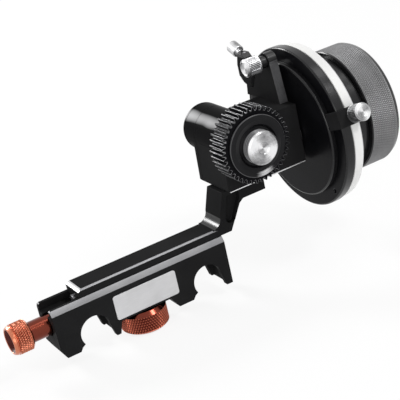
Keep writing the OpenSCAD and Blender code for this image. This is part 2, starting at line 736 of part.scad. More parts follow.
module drive_shaft() {
    y1 = rear_bearing_y + bearing_w + 0.9;
    color([0.65, 0.65, 0.67]) difference() {
        union() {
            bar_y(box_y0 - eps, y1 - box_y0, shaft_r, drive_x, drive_z);
            bar_y(box_y0 - 0.55, 0.53, shaft_r + 1.2, drive_x, drive_z);
            bar_y(gear_front_y, box_y0 - 0.5 - gear_front_y, gear_hub_r, drive_x, drive_z);
        }
        bar_y(gear_front_y - 1, 10, 2.5 + run, drive_x, drive_z);
        translate([drive_x - 1.5, gear_front_y - 1, drive_z + gear_hub_r - 1.4])
            cube([3, drive_face + 1, 3]);
        // groove for the clip behind the rear bearing
        difference() {
            bar_y(rear_bearing_y + bearing_w + 0.05, 0.5, shaft_r + 1, drive_x, drive_z);
            bar_y(rear_bearing_y, bearing_w + 2, shaft_r - 0.5, drive_x, drive_z);
        }
    }
}

module shaft_clip() {
    color([0.4, 0.4, 0.42]) difference() {
        bar_y(rear_bearing_y + bearing_w + 0.08, 0.44, shaft_r + 1.1, drive_x, drive_z);
        bar_y(rear_bearing_y, bearing_w + 2, shaft_r - 0.45, drive_x, drive_z);
        translate([drive_x - 1.6, rear_bearing_y, drive_z - shaft_r - 2]) cube([3.2, bearing_w + 2, 3]);
    }
}

module gear_key() {
    color([0.5, 0.5, 0.52]) translate([drive_x - 1.47, gear_front_y + 0.5, drive_z + gear_hub_r - 1.35])
        cube([2.94, drive_face - 1, 2.7]);
}

module drive_gear() {
    color([0.08, 0.08, 0.09]) difference() {
        translate([drive_x, 0, drive_z]) along_y(gear_front_y, drive_face)
            gear_outline(drive_teeth, gear_module, gear_module, gear_module * 1.15, 0.46);
        bar_y(gear_front_y - 1, drive_face + 2, gear_hub_r + 0.03, drive_x, drive_z);
        translate([drive_x - 1.52, gear_front_y - 1, drive_z]) cube([3.04, drive_face + 2, gear_hub_r + 1.4]);
    }
}

// Dished flange that the thumb screw presses on the front of the gear.
module gear_flange() {
    r = gear_flange_d / 2;
    y0 = gear_front_y;
    color([0.08, 0.08, 0.09])
        turned_y([[y0 - 0.02, 2.8], [y0 - 0.02, r - 0.6], [flange_y + 0.5, r], [flange_y, r - 0.5],
                  [flange_y, thumb_r + 2.2], [y0 - 0.8, thumb_r + 1.2], [y0 - 0.8, 2.8]], drive_x, drive_z);
}

module thumb_screw() {
    y0 = thumb_y;
    seat_y = gear_front_y - 0.85;
    color([0.8, 0.8, 0.82]) union() {
        turned_y([[y0 + 0.5, 0], [y0 + 0.5, 2.6], [y0, 3], [y0, thumb_r - 0.7], [y0 + 0.7, thumb_r],
                  [seat_y - 2.6, thumb_r], [seat_y - 2.2, thumb_r - 0.5], [seat_y, thumb_r - 0.5],
                  [seat_y, 0]], drive_x, drive_z);
        bar_y(seat_y - eps, 0.85 + 8, 2.5, drive_x, drive_z);
    }
}

module drive_pinion() {
    color([0.55, 0.5, 0.35]) difference() {
        translate([drive_x, 0, drive_z]) union() {
            along_y(spur_y, spur_face) rotate(mesh_angle + 180 + 180 / pinion_teeth)
                gear_outline(pinion_teeth, gear_module, gear_module * 0.8, gear_module * 1.25, 0.4);
            bar_y(spur_y - 4, 4.01, 4.8);
        }
        bar_y(spur_y - 5, spur_face + 10, shaft_r, drive_x, drive_z);
        translate([drive_x, spur_y - 2, drive_z]) cylinder(h = 8, r = 0.8, $fn = 32);
    }
}

// ---------- cross shaft ----------

module cross_shaft() {
    color([0.65, 0.65, 0.67]) bar_y(cross_y0 + 0.1, cross_y1 - cross_y0 - 0.2, cross_r, cross_x, wheel_z);
}

module cross_bevel() {
    color([0.55, 0.5, 0.35]) difference() {
        translate([cross_x, 0, wheel_z]) union() {
            translate([0, -bevel_r, 0]) rotate([90, 0, 0]) mirror([0, 0, 1])
                linear_extrude(bevel_face, scale = (bevel_r - bevel_face) / bevel_r)
                rotate(180 / bevel_teeth)
                gear_outline(bevel_teeth, gear_module, gear_module * 0.55, gear_module * 0.95, 0.38);
            bar_y(cross_y0 + cross_bush_len + 0.2, -bevel_r - cross_y0 - cross_bush_len - 0.19, bevel_r - 1.4);
        }
        bar_y(-box_depth, 2 * box_depth, cross_r, cross_x, wheel_z);
    }
}

module cross_gear() {
    color([0.55, 0.5, 0.35]) difference() {
        translate([cross_x, 0, wheel_z]) union() {
            along_y(spur_y, spur_face) rotate(mesh_angle)
                gear_outline(cross_teeth, gear_module, gear_module * 0.8, gear_module * 1.25, 0.4);
            bar_y(spur_y - 2.4, 2.41, 4.8);
        }
        bar_y(-box_depth, 3 * box_depth, cross_r, cross_x, wheel_z);
        translate([cross_x, spur_y - 1.2, wheel_z]) cylinder(h = 6, r = 0.6, $fn = 32);
    }
}

module cross_spacer() {
    y0 = spur_y + spur_face + 0.05;
    color([0.7, 0.7, 0.72]) difference() {
        bar_y(y0, cross_y1 - cross_bush_len - 0.05 - y0, cross_r + 1.4, cross_x, wheel_z);
        bar_y(y0 - 1, 4, cross_r, cross_x, wheel_z);
    }
}

// ---------- handwheel ----------

module wheel_shaft() {
    x0 = cross_x + bevel_r - bevel_face;
    color([0.65, 0.65, 0.67]) union() {
        bar_x(x0 + 0.2, wheel_x1 - 6 - x0, shaft_r, 0, wheel_z);
        bar_x(wheel_bearing_x + 2 * bearing_w + 0.2, hub_x - wheel_bearing_x - 2 * bearing_w - 0.2,
              shaft_r + 1, 0, wheel_z);
    }
}

module wheel_bevel() {
    x0 = cross_x + bevel_r;
    color([0.55, 0.5, 0.35]) difference() {
        translate([0, 0, wheel_z]) union() {
            translate([x0, 0, 0]) rotate([90, 0, 90]) mirror([0, 0, 1])
                linear_extrude(bevel_face, scale = (bevel_r - bevel_face) / bevel_r)
                gear_outline(bevel_teeth, gear_module, gear_module * 0.55, gear_module * 0.95, 0.38);
            bar_x(x0 - eps, wheel_bearing_x - 1.1 - x0, bevel_r - 1.4);
            bar_x(wheel_bearing_x - 1.2, 1.15, shaft_r + 1);
        }
        bar_x(x0 - 2 * bevel_face, box_x1 - x0, shaft_r, 0, wheel_z);
    }
}

// Plain raised plate on the gearbox side of the disc; it covers the disc's screws.
module wheel_hub() {
    color([0.07, 0.07, 0.08])
        turned_x([[hub_x, shaft_r], [hub_x, hub_r - 0.5], [hub_x + 0.5, hub_r], [disc_x, hub_r],
                  [disc_x, shaft_r]], 0, wheel_z);
}

module wheel_disc() {
    color([0.07, 0.07, 0.08]) difference() {
        turned_x([[disc_x, shaft_r], [disc_x, disc_r - 0.5], [disc_x + 0.5, disc_r], [groove_x - 0.3, disc_r],
                  [groove_x, disc_r - 0.3], [groove_x, shaft_r]], 0, wheel_z);
        for (a = [30 : 60 : 330])
            turned_x([[disc_x - 1, 0], [disc_x - 1, 2.4], [disc_x + wheel_screw_head + 0.1, 2.4],
                      [disc_x + wheel_screw_head + 0.1, 1.3], [groove_x + 1, 1.3], [groove_x + 1, 0]],
                     wheel_screw_r * cos(a), wheel_z + wheel_screw_r * sin(a));
        bar_x(disc_x - 1, 3, 1, -(disc_r + hub_r) / 2 * cos(48), wheel_z - (disc_r + hub_r) / 2 * sin(48));
    }
}

module wheel_screws() {
    color([0.6, 0.6, 0.62]) for (a = [30 : 60 : 330])
        translate([disc_x + 0.05, wheel_screw_r * cos(a), wheel_z + wheel_screw_r * sin(a)])
            rotate([0, -90, 0]) cap_screw(1.27, 2.3, wheel_screw_head, disc_t + 1.8);
}

module marking_ring() {
    color([0.93, 0.93, 0.92])
        turned_x([[ring_x, ring_seat_r + 0.02], [ring_x, ring_r - 0.4], [ring_x + 0.4, ring_r],
                  [retainer_x - 0.4, ring_r], [retainer_x, ring_r - 0.4],
                  [retainer_x, ring_seat_r + 0.02]], 0, wheel_z);
}

module ring_retainer() {
    color([0.45, 0.45, 0.47])
        turned_x([[retainer_x + 0.02, step_r + 0.02], [retainer_x + 0.02, ring_r - 0.9],
                  [neck_x - 0.3, ring_r - 0.9], [neck_x, ring_r - 1.3], [neck_x, step_r + 0.02]], 0, wheel_z);
}

// Turned neck: a wide step under the marking ring, a groove, then the core of the grip.
module wheel_neck() {
    color([0.07, 0.07, 0.08]) difference() {
        turned_x([[groove_x, shaft_r], [groove_x, ring_seat_r], [retainer_x, ring_seat_r], [retainer_x, step_r],
                  [neck_x + 3.4, step_r], [neck_x + 4.2, step_r - 0.24 * (step_r - neck_r)],
                  [neck_x + 4.2, neck_r], [grip_x, neck_r], [grip_x, grip_core_r], [wheel_x1 - 3.2, grip_core_r],
                  [wheel_x1 - 3.2, cap_r + 0.05], [wheel_x1 - 9, cap_r + 0.05], [wheel_x1 - 9, shaft_r]],
                 0, wheel_z);
        for (a = [30 : 60 : 330])
            bar_x(groove_x - 1, 6, 1.28, wheel_screw_r * cos(a), wheel_z + wheel_screw_r * sin(a));
    }
}

module wheel_grip() {
    r = grip_r;
    x1 = wheel_x1;
    color([0.16, 0.16, 0.17])
        turned_x([[grip_x, grip_core_r + 0.02], [grip_x, r - 0.6], [grip_x + 0.6, r], [x1 - 3.4, r],
                  [x1 - 1.2, r - 1], [x1, r - 3.2], [x1, r - 6], [x1 - 0.9, r - 7.5],
                  [x1 - 0.9, cap_r + 0.1], [x1 - 3.18, cap_r + 0.1],
                  [x1 - 3.18, grip_core_r + 0.02]], 0, wheel_z);
}

module wheel_nut() {
    x0 = wheel_x1 - 8.95;
    color([0.6, 0.6, 0.62]) difference() {
        bar_x(x0, 2.6, 5.5, 0, wheel_z, $fn = 6);
        bar_x(x0 - 1, 5, shaft_r, 0, wheel_z);
    }
}

module wheel_cap() {
    x1 = wheel_x1 - 0.9;
    color([0.1, 0.1, 0.11])
        turned_x([[x1 - 3.6, cap_r - 1.6], [x1 - 3.6, cap_r], [x1 - 0.4, cap_r], [x1, cap_r - 0.4], [x1, 0],
                  [x1 - 1.5, 0], [x1 - 1.5, cap_r - 1.6]], 0, wheel_z);
}

// ---------- rim stops ----------

// Places a stop at its angle on the rim, built as if it pointed straight up.
module at_stop(angle) {
    translate([0, 0, wheel_z]) rotate([90 - angle, 0, 0]) children();
}

module stop_clamp_shape() {
    half = stop_w / 2;
    seat_x = (disc_x + stop_x1) / 2;
    difference() {
        union() {
            translate([disc_x - stop_leg_t, -half, stop_r0])
                cube([stop_leg_t - 0.05, stop_w, stop_r1 - stop_r0]);
            translate([disc_x - stop_leg_t, -half, rim_r - 1])
                cube([stop_x1 - disc_x + stop_leg_t, stop_w, stop_r1 - rim_r + 1]);
        }
        // clear of the rim
        rotate([0, 90, 0]) translate([0, 0, disc_x - 0.05]) cylinder(h = 30, r = bridge_r0);
        translate([seat_x, 0, rim_r - 2]) cylinder(h = 20, r = 1.5 + run, $fn = 48);
    }
}

module stop_screw_shape() {
    r = stop_screw_d / 2;
    seat_x = (disc_x + stop_x1) / 2;
    translate([seat_x, 0, 0]) union() {
        translate([0, 0, bridge_r0 + 0.25]) cylinder(h = stop_r1 - bridge_r0 + 0.6, r = 1.5, $fn = 48);
        translate([0, 0, stop_r1 + 0.1]) cylinder(h = 1.2, r = r * 0.62, $fn = 48);
        rotate_extrude() polygon([[0, stop_r1 + 1.2], [r - 0.6, stop_r1 + 1.2], [r, stop_r1 + 1.8],
                                  [r, stop_r1 + stop_screw_len - 0.6], [r - 0.6, stop_r1 + stop_screw_len],
                                  [0, stop_r1 + stop_screw_len]]);
    }
}

module stop_clamp_a() { color([0.12, 0.12, 0.13]) at_stop(stop_a_angle) stop_clamp_shape(); }
module stop_clamp_b() { color([0.12, 0.12, 0.13]) at_stop(stop_b_angle) stop_clamp_shape(); }
module stop_screw_a() { color([0.75, 0.75, 0.77]) at_stop(stop_a_angle) stop_screw_shape(); }
module stop_screw_b() { color([0.75, 0.75, 0.77]) at_stop(stop_b_angle) stop_screw_shape(); }

// ---------- stop bracket ----------

// Body of the bracket: a plate with a round top for the pin and a round lobe at the back.
module bracket_body() {
    difference() {
        union() {
            along_x(bracket_x0, bracket_t)
                polygon([[-5.9, box_z1], [pin_y - pin_top_r, pin_z - 1], [pin_y + pin_top_r, pin_z - 1],
                         [lobe_y - 6, lobe_z + 4], [lobe_y - 0.9, block_z], [lobe_y + 5.6, block_z],
                         [lobe_y + 7, lobe_z + 2.6], [lobe_y + 6.8, lobe_z - 3], [lobe_y + 3.9, lobe_z - 5.2],
                         [lobe_y + 1.5, lobe_z - 6.6], [cover_y + 10.7, box_z1]]);
            bar_x(bracket_x0, bracket_t, pin_top_r, pin_y, pin_z);
            bar_x(bracket_x0, bracket_t, lobe_r, lobe_y, lobe_z);
        }
        // clamp slot
        along_x(bracket_x0 - 1, bracket_t + 2)
            polygon([[lobe_y - 4.5, lobe_z - 7.3], [lobe_y - 1.6, lobe_z - 7.6], [lobe_y - 5, lobe_z],
                     [lobe_y - 8.6, lobe_z]]);
    }
}
bracket_stud_y = [box_y0 + 10.25, cover_y - 6.25];
stud_r = 1;
stud_up = 5;

module stop_bracket() {
    mid_x = (bracket_x0 + bracket_x1) / 2;
    color([0.1, 0.1, 0.11]) difference() {
        bracket_body();
        bar_x(bracket_x0 - 1, bracket_t - 0.6, pin_neck_r + run, pin_y, pin_z);
        bar_x(bracket_x0 - 1, bracket_t + 2, pin_d / 2 + run, pin_y, pin_z);
        // groove for the seal ring round the pin
        bar_x(bracket_x0 + 1.3, 1.1, pin_neck_r + 0.75, pin_y, pin_z);
        for (y = bracket_stud_y) translate([mid_x, y, box_z1 - 1])
            cylinder(h = stud_up + 1.2, r = stud_r, $fn = 48);
        lock_bore();
        block_screw_bore();
    }
}

// Threaded studs that hold the bracket on the housing's right wall.
module bracket_studs() {
    mid_x = (bracket_x0 + bracket_x1) / 2;
    color([0.6, 0.6, 0.62]) for (y = bracket_stud_y) translate([mid_x, y, box_z1 - 2.7])
        cylinder(h = 2.7 + stud_up, r = stud_r - 0.02, $fn = 48);
}

module pin_seal() {
    color([0.05, 0.05, 0.05]) difference() {
        bar_x(bracket_x0 + 1.35, 1, pin_neck_r + 0.7, pin_y, pin_z);
        bar_x(bracket_x0, 4, pin_neck_r + run, pin_y, pin_z);
    }
}

module stop_pin() {
    neck_x1 = bracket_x0 + bracket_t - 1.7 - pin_travel;
    color([0.7, 0.7, 0.72]) union() {
        bar_x(pin_knob_x1 - 3, neck_x1 - pin_knob_x1 + 3, pin_neck_r, pin_y, pin_z);
        bar_x(neck_x1 - eps, bracket_x1 + 0.9 - neck_x1, pin_d / 2, pin_y, pin_z);
    }
}

module pin_knob() {
    r = pin_knob_d / 2;
    x1 = pin_knob_x1;
    x0 = x1 - pin_knob_len;
    color([0.8, 0.8, 0.82])
        turned_x([[x0 + 0.3, 0], [x0 + 0.3, r - 1.4], [x0, r - 1], [x0 + 0.7, r], [x1 - 0.7, r],
                  [x1, r - 0.7], [x1, pin_neck_r + 0.02], [x1 - 3.02, pin_neck_r + 0.02],
                  [x1 - 3.02, 0]], pin_y, pin_z);
}

// Small block on the lobe that carries the bracket's lock screw.
module lock_block() {
    color([0.2, 0.2, 0.21]) difference() {
        along_x(bracket_x0, bracket_t)
            polygon([[lobe_y - 0.9, block_z], [lobe_y + 1.2, block_z + block_h],
                     [lobe_y + 5, block_z + block_h], [lobe_y + 5.6, block_z]]);
        lock_bore();
        block_screw_bore();
    }
}

// Countersunk screw that holds the block on the bracket.
module lock_block_screw() {
    color([0.6, 0.6, 0.62]) at_block_screw() union() {
        translate([0, 0, -block_screw_head]) cylinder(h = block_screw_head, r = 1.7 * block_screw_r, $fn = 48);
        translate([0, 0, -block_h - 1.2]) cylinder(h = block_h + 0.8, r = block_screw_r, $fn = 48);
    }
}

module block_screw_bore() {
    at_block_screw() union() {
        translate([0, 0, -block_screw_head - 0.02]) cylinder(h = 2, r = 1.7 * block_screw_r + 0.02, $fn = 48);
        translate([0, 0, -block_h - 1.4]) cylinder(h = block_h + 2, r = block_screw_r + 0.02, $fn = 48);
    }
}

// Middle of the block's top, where its screw stands.
module at_block_screw() {
    translate([(bracket_x0 + bracket_x1) / 2, block_screw_y, block_z + block_h]) children();
}

// Hole for the lock screw through the block's back end into the lobe.
module lock_bore() {
    lock_axis(-lock_shank - 0.2) cylinder(h = lock_shank + 4, r = lock_r + run, $fn = 48);
}

// Line of the lock screw: from the block's back end, backwards and up.
module lock_axis(start) {
    translate([(bracket_x0 + bracket_x1) / 2, lobe_y + 5, block_z + 0.6])
        rotate([-90 + lock_tilt, 0, 0]) translate([0, 0, start]) children();
}

module bracket_lock_screw() {
    color([0.75, 0.75, 0.77]) lock_axis(0) union() {
        translate([0, 0, -lock_shank]) cylinder(h = lock_shank + 1, r = lock_r, $fn = 48);
        rotate_extrude() polygon([[0, 0.9], [1.8, 0.9], [1.8, 2.2], [2.7, 2.2], [3.1, 2.6], [3.1, 8.1],
                                  [2.7, 8.5], [0, 8.5]]);
    }
}

rod_clamp();
nameplate();
side_bush();
side_knob();
side_screw();
side_pad();
bottom_bush();
bottom_knob();
bottom_screw();
lock_shoe();
arm();
arm_stop_screw();
gearbox_housing();
gearbox_cover();
cover_screws();
mounting_screws();
front_bearing();
rear_bearing();
wheel_bearings();
bearing_cover();
bearing_cover_screws();
cross_bushes();
rear_cap();
drive_shaft();
drive_pinion();
drive_gear();
gear_key();
gear_flange();
shaft_clip();
thumb_screw();
cross_shaft();
cross_bevel();
cross_gear();
cross_spacer();
wheel_shaft();
wheel_bevel();
wheel_hub();
wheel_disc();
marking_ring();
ring_retainer();
wheel_neck();
wheel_grip();
wheel_cap();
wheel_screws();
wheel_nut();
stop_clamp_a();
stop_screw_a();
stop_clamp_b();
stop_screw_b();
stop_bracket();
bracket_studs();
pin_seal();
stop_pin();
pin_knob();
lock_block();
lock_block_screw();
bracket_lock_screw();
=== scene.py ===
"""Looks of a follow focus unit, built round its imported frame.

Sizes here are millimetres, as in the part's own source, and become metres when a mesh is made.
"""
import functools
import logging
import math
from dataclasses import dataclass
from enum import Enum
from typing import Callable, Sequence, Union

import bmesh
import bpy
import numpy as np
from mathutils import Matrix, Vector


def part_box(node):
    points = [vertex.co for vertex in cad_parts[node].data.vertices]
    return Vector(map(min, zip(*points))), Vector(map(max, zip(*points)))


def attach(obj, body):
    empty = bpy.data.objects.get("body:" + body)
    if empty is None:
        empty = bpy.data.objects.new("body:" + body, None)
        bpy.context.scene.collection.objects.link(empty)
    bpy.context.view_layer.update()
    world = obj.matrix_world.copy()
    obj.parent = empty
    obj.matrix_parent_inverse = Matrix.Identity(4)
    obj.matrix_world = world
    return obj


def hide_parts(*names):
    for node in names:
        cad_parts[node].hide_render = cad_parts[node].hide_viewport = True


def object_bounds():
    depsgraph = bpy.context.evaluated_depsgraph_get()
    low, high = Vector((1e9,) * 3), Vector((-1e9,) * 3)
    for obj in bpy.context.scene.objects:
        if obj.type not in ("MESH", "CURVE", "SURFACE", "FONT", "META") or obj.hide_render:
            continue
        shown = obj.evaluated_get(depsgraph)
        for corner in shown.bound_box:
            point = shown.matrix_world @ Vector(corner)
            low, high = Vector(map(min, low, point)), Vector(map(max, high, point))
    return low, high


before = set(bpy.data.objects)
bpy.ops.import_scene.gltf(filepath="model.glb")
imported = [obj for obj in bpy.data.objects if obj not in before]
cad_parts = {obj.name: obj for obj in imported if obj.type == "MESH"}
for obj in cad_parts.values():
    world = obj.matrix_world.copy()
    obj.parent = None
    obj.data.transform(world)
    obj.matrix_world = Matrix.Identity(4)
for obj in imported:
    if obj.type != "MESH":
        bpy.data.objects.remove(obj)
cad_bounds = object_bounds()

logging.basicConfig(level=logging.INFO, format="%(message)s")
log = logging.getLogger("follow_focus")

MM = 0.001
X, Y, Z = range(3)  # columns of points, boxes and normals
ALONG_X, ALONG_Y, ALONG_Z = (1.0, 0.0, 0.0), (0.0, 1.0, 0.0), (0.0, 0.0, 1.0)
WHITE = (1.0, 1.0, 1.0, 1.0)
NOISE_DETAIL = 2.0
NOISE_MIDDLE = 0.5
Triple = tuple[float, float, float]
Outline = Sequence[tuple[float, float]]
Number = Union[float, "Sock"]


# ---------- shader maths ----------


@dataclass(frozen=True)
class Sock:
    """A value in a shader. Python's operators on it add Math nodes."""

    shader: "Shader"
    socket: bpy.types.NodeSocket

    def math(self, operation: str, *others: Number) -> "Sock":
        """Adds one Math node whose first input is this value."""
        return self.shader.math(operation, self, *others)

    def __add__(self, other: Number) -> "Sock":
        """self + other."""
        return self.math("ADD", other)

    __radd__ = __add__

    def __sub__(self, other: Number) -> "Sock":
        """self - other."""
        return self.math("SUBTRACT", other)

    def __rsub__(self, other: Number) -> "Sock":
        """other - self."""
        return self.shader.math("SUBTRACT", other, self)

    def __mul__(self, other: Number) -> "Sock":
        """self * other."""
        return self.math("MULTIPLY", other)

    __rmul__ = __mul__

    def __truediv__(self, other: Number) -> "Sock":
        """self / other."""
        return self.math("DIVIDE", other)


class Shader:
    """A node tree that is written with Python's operators."""

    def __init__(self, tree: bpy.types.NodeTree) -> None:
        """Wraps the tree of a material or of the surroundings.

        Args:
            tree: The tree that nodes are added to.
        """
        self.tree = tree

    @functools.cached_property
    def place(self) -> Sock:
        """The object's own coordinates, in metres."""
        return self.node("ShaderNodeTexCoord", output="Object")

    def feed(self, socket: bpy.types.NodeSocket, value: object) -> None:
        """Links a wrapped socket to an input, or writes a plain value on it.

        Args:
            socket: The input.
            value: A wrapped socket or a plain value.
        """
        if isinstance(value, Sock):
            self.tree.links.new(value.socket, socket)
        else:
            socket.default_value = value

    def node(self, kind: str, settings: dict | None = None, inputs: dict | None = None,
             output: int | str = 0) -> Sock:
        """Adds any node.

        Args:
            kind: The node's type.
            settings: Attributes that are set first, such as a Math node's operation.
            inputs: Values or wrapped sockets, by input name or number.
            output: The output that is wanted.

        Returns:
            The wrapped output.
        """
        node = self.tree.nodes.new(kind)
        for name, value in (settings or {}).items():
            setattr(node, name, value)
        for name, value in (inputs or {}).items():
            self.feed(node.inputs[name], value)
        return Sock(self, node.outputs[output])

    def math(self, operation: str, *values: Number) -> Sock:
        """Adds one Math node on one or two values."""
        return self.node("ShaderNodeMath", {"operation": operation}, dict(enumerate(values)))

    def mix_colour(self, share: Number, first: Triple, second: Triple) -> Sock:
        """Mixes two colours, which are inputs 6 and 7 of a Mix node and come out of its output 2.

        Args:
            share: How much of the second colour shows, 0 to 1.
            first: Linear colour at 0.
            second: Linear colour at 1.

        Returns:
            The mixed colour.
        """
        return self.node("ShaderNodeMix", {"data_type": "RGBA", "clamp_factor": True},
                         {0: share, 6: (*first, 1.0), 7: (*second, 1.0)}, output=2)


# ---------- lines and patterns ----------


@dataclass(frozen=True)
class Axis:
    """A turning axis: a point on it in millimetres, its direction, and where angle 0 lies."""

    origin: Triple
    along: Triple
    side: Triple = ALONG_Z

    def points(self, distance: np.ndarray, radius: np.ndarray, angle: np.ndarray) -> np.ndarray:
        """Places points by distance along the axis, radius and angle.

        Each point is origin + distance * along + radius * (cos(angle) * side + sin(angle) * across),
        where across is along x side.

        Args:
            distance: Distances along the axis.
            radius: Distances from it.
            angle: Angles from the side direction, in radians.

        Returns:
            The points, with x, y and z in the last dimension.
        """
        along = np.array(self.along) / np.linalg.norm(self.along)
        side = np.array(self.side) - along * np.dot(self.side, along)
        side = side / np.linalg.norm(side)
        across = np.cross(along, side)
        spoke = np.cos(angle)[..., None] * side + np.sin(angle)[..., None] * across
        return np.array(self.origin) + distance[..., None] * along + radius[..., None] * spoke

    def radius_of(self, points: np.ndarray) -> np.ndarray:
        """|(point - origin) x along| of each point, which is its distance from the axis."""
        return np.linalg.norm(np.cross(points - np.array(self.origin), self.along), axis=1)


@dataclass(frozen=True)
class Grain:
    """A fine grain, or brushing where it is stretched: noise over the object's own coordinates."""

    size: float
    depth: float
    stretch: Triple = (1.0, 1.0, 1.0)

    def height(self, shader: Shader) -> Sock:
        """Noise from 0 to 1, one blob per size, longer where stretch is above 1.

        Args:
            shader: The shader that its nodes are added to.

        Returns:
            The noise.
        """
        scale = tuple(1.0 / (self.size * MM * s) for s in self.stretch)
        scaled = shader.node("ShaderNodeMapping", {}, {"Vector": shader.place, "Scale": scale})
        return shader.node("ShaderNodeTexNoise", {},
                           {"Vector": scaled, "Scale": 1.0, "Detail": NOISE_DETAIL})


@dataclass(frozen=True)
class Radial:
    """A pattern round an axis."""

    axis: Axis

    def offset(self, shader: Shader) -> Sock:
        """place - origin."""
        origin = tuple(x * MM for x in self.axis.origin)
        return shader.node("ShaderNodeVectorMath", {"operation": "SUBTRACT"},
                           {0: shader.place, 1: origin})

    def radius(self, shader: Shader) -> Sock:
        """|(place - origin) x along|, the distance from the axis."""
        across = shader.node("ShaderNodeVectorMath", {"operation": "CROSS_PRODUCT"},
                             {0: self.offset(shader), 1: self.axis.along})
        return shader.node("ShaderNodeVectorMath", {"operation": "LENGTH"}, {0: across}, output="Value")


@dataclass(frozen=True)
class ToolMarks(Radial):
    """Marks of a turning tool: noise of the distance from the axis, so that it makes rings."""

    pitch: float
    depth: float

    def height(self, shader: Shader) -> Sock:
        """Noise from 0 to 1 of the distance from the axis divided by the pitch."""
        rings = self.radius(shader) / (self.pitch * MM)
        return shader.node("ShaderNodeTexNoise", {"noise_dimensions": "1D"},
                           {"W": rings, "Scale": 1.0, "Detail": NOISE_DETAIL})


@dataclass(frozen=True)
class PaintedFans(Radial):
    """Painted highlight fans of a turned face: a power of the cosine of the angle between a point's
    direction from the axis and one line across it, which lightens the colour there.

    angle places the line in degrees from the axis's side. Each halving squares the cosine once more, which
    narrows the fan. There is one fan when single, else two opposite ones. The fans have no relief, and core
    is the radius within which they fade.
    """

    angle: float
    halvings: int = 2
    single: bool = False
    depth: float = 0.0
    core: float = 0.02

    def height(self, shader: Shader) -> Sock:
        """cos^(2^halvings): 1 along the line, 0 at right angles to it.

        Args:
            shader: The shader that its nodes are added to.

        Returns:
            The share, 0 to 1.
        """
        turn = math.radians(self.angle)
        line = self.axis.points(np.zeros(1), np.ones(1), np.array([turn]))[0] - np.array(self.axis.origin)
        reach = shader.node("ShaderNodeVectorMath", {"operation": "DOT_PRODUCT"},
                            {0: self.offset(shader), 1: tuple(line)}, output="Value")
        share = reach / (self.radius(shader) + self.core * MM)
        if self.single:
            share = share.math("MAXIMUM", 0.0)
        for _ in range(self.halvings):
            share = share * share
        return share


@dataclass(frozen=True)
class Finish:
    """A surface finish: two colours and two roughnesses that its patterns mix, and their relief.

    colour and the higher roughness show at a mix of 1, low_colour and the lower one at 0. middle is the
    mix where the patterns are even, spread how far they pull it from there, and groove how far a knurl's
    grooves pull it down, which paints shade into the grooves. cloud_size is the size of the broad cloud in
    the mix.
    """

    name: str
    colour: Triple
    low_colour: Triple
    roughness: tuple[float, float]
    metallic: float = 0.0
    specular: float = 0.5
    coat: float = 0.0
    patterns: tuple[Grain | ToolMarks | PaintedFans, ...] = ()
    cloud_size: float = 14.0
    spread: float = 3.0
    middle: float = 0.5
    groove: float = 0.0

    @functools.cached_property
    def material(self) -> bpy.types.Material:
        """The material, made once.

        Relief is the sum of depth * height over the patterns, in metres. The mix follows the mean of the
        patterns' heights and of the cloud, less the groove attribute of knurled pieces, which paints shade
        into their grooves, held to 0 to 1.

        Returns:
            The material.
        """
        material = bpy.data.materials.new(self.name)
        material.use_nodes = True
        shader = Shader(material.node_tree)
        principled = shader.tree.nodes["Principled BSDF"]
        cloud = Grain(self.cloud_size, 0.0).height(shader)
        heights = [(p.depth, p.height(shader)) for p in self.patterns]
        relief, tone = 0.0, cloud
        for depth, height in heights:
            relief = height * (depth * MM) + relief
            tone = tone + height
        share = (tone / (1 + len(heights)) - NOISE_MIDDLE) * self.spread + self.middle
        # Painted shade: a knurl's grooves are darkened in colour.
        if self.groove:
            groove = shader.node("ShaderNodeAttribute", {"attribute_name": "groove"}, output="Fac")
            share = share - groove * self.groove
        share = share.math("MAXIMUM", 0.0).math("MINIMUM", 1.0)
        colour = shader.mix_colour(share, self.low_colour, self.colour)
        low, high = self.roughness
        shader.feed(principled.inputs["Base Color"], colour)
        shader.feed(principled.inputs["Roughness"], share * (high - low) + low)
        principled.inputs["Metallic"].default_value = self.metallic
        principled.inputs["Specular IOR Level"].default_value = self.specular
        principled.inputs["Coat Weight"].default_value = self.coat
        principled.inputs["Coat Roughness"].default_value = low
        bump = shader.node("ShaderNodeBump", {}, {"Strength": 1.0, "Distance": 1.0, "Height": relief},
                           output="Normal")
        shader.feed(principled.inputs["Normal"], bump)
        return material


# ---------- finishes ----------

BLACK_ANODISED = Finish("black_anodised", (0.019, 0.019, 0.0195), (0.013, 0.013, 0.0135), (0.34, 0.44),
                        specular=0.005, patterns=(Grain(0.30, 0.003),))
BLACK_SHEEN = Finish("black_sheen", (0.012, 0.012, 0.0125), (0.008, 0.008, 0.0085), (0.26, 0.34),
                     specular=0.28, patterns=(Grain(0.30, 0.003),))
BARE_SLOPE = Finish("bare_slope", (0.38, 0.38, 0.39), (0.24, 0.24, 0.25), (0.42, 0.54), metallic=0.3,
                    specular=0.3, patterns=(Grain(0.2, 0.0015),), cloud_size=18.0)
BARE_END = Finish("bare_end", (0.56, 0.56, 0.57), (0.46, 0.46, 0.47), (0.34, 0.46), metallic=0.5,
                  patterns=(Grain(0.2, 0.0015),), cloud_size=5.0)
BARE_FOOT = Finish("bare_foot", (0.84, 0.84, 0.85), (0.72, 0.72, 0.73), (0.30, 0.42), metallic=0.5,
                   patterns=(Grain(0.2, 0.0015),), cloud_size=5.0)
# A lighter black: on the flange's rim it is a painted highlight line; on the stop bracket its front faces
# are made lighter than its other faces.
LIGHTER_BLACK = Finish("lighter_black", (0.085, 0.085, 0.088), (0.050, 0.050, 0.052), (0.34, 0.46), specular=0.3,
                    patterns=(Grain(0.4, 0.003),), cloud_size=3.0)
GEAR_BLACK = Finish("gear_black", (0.009, 0.009, 0.010), (0.005, 0.005, 0.006), (0.30, 0.40), specular=0.01,
                    patterns=(Grain(0.35, 0.003),))
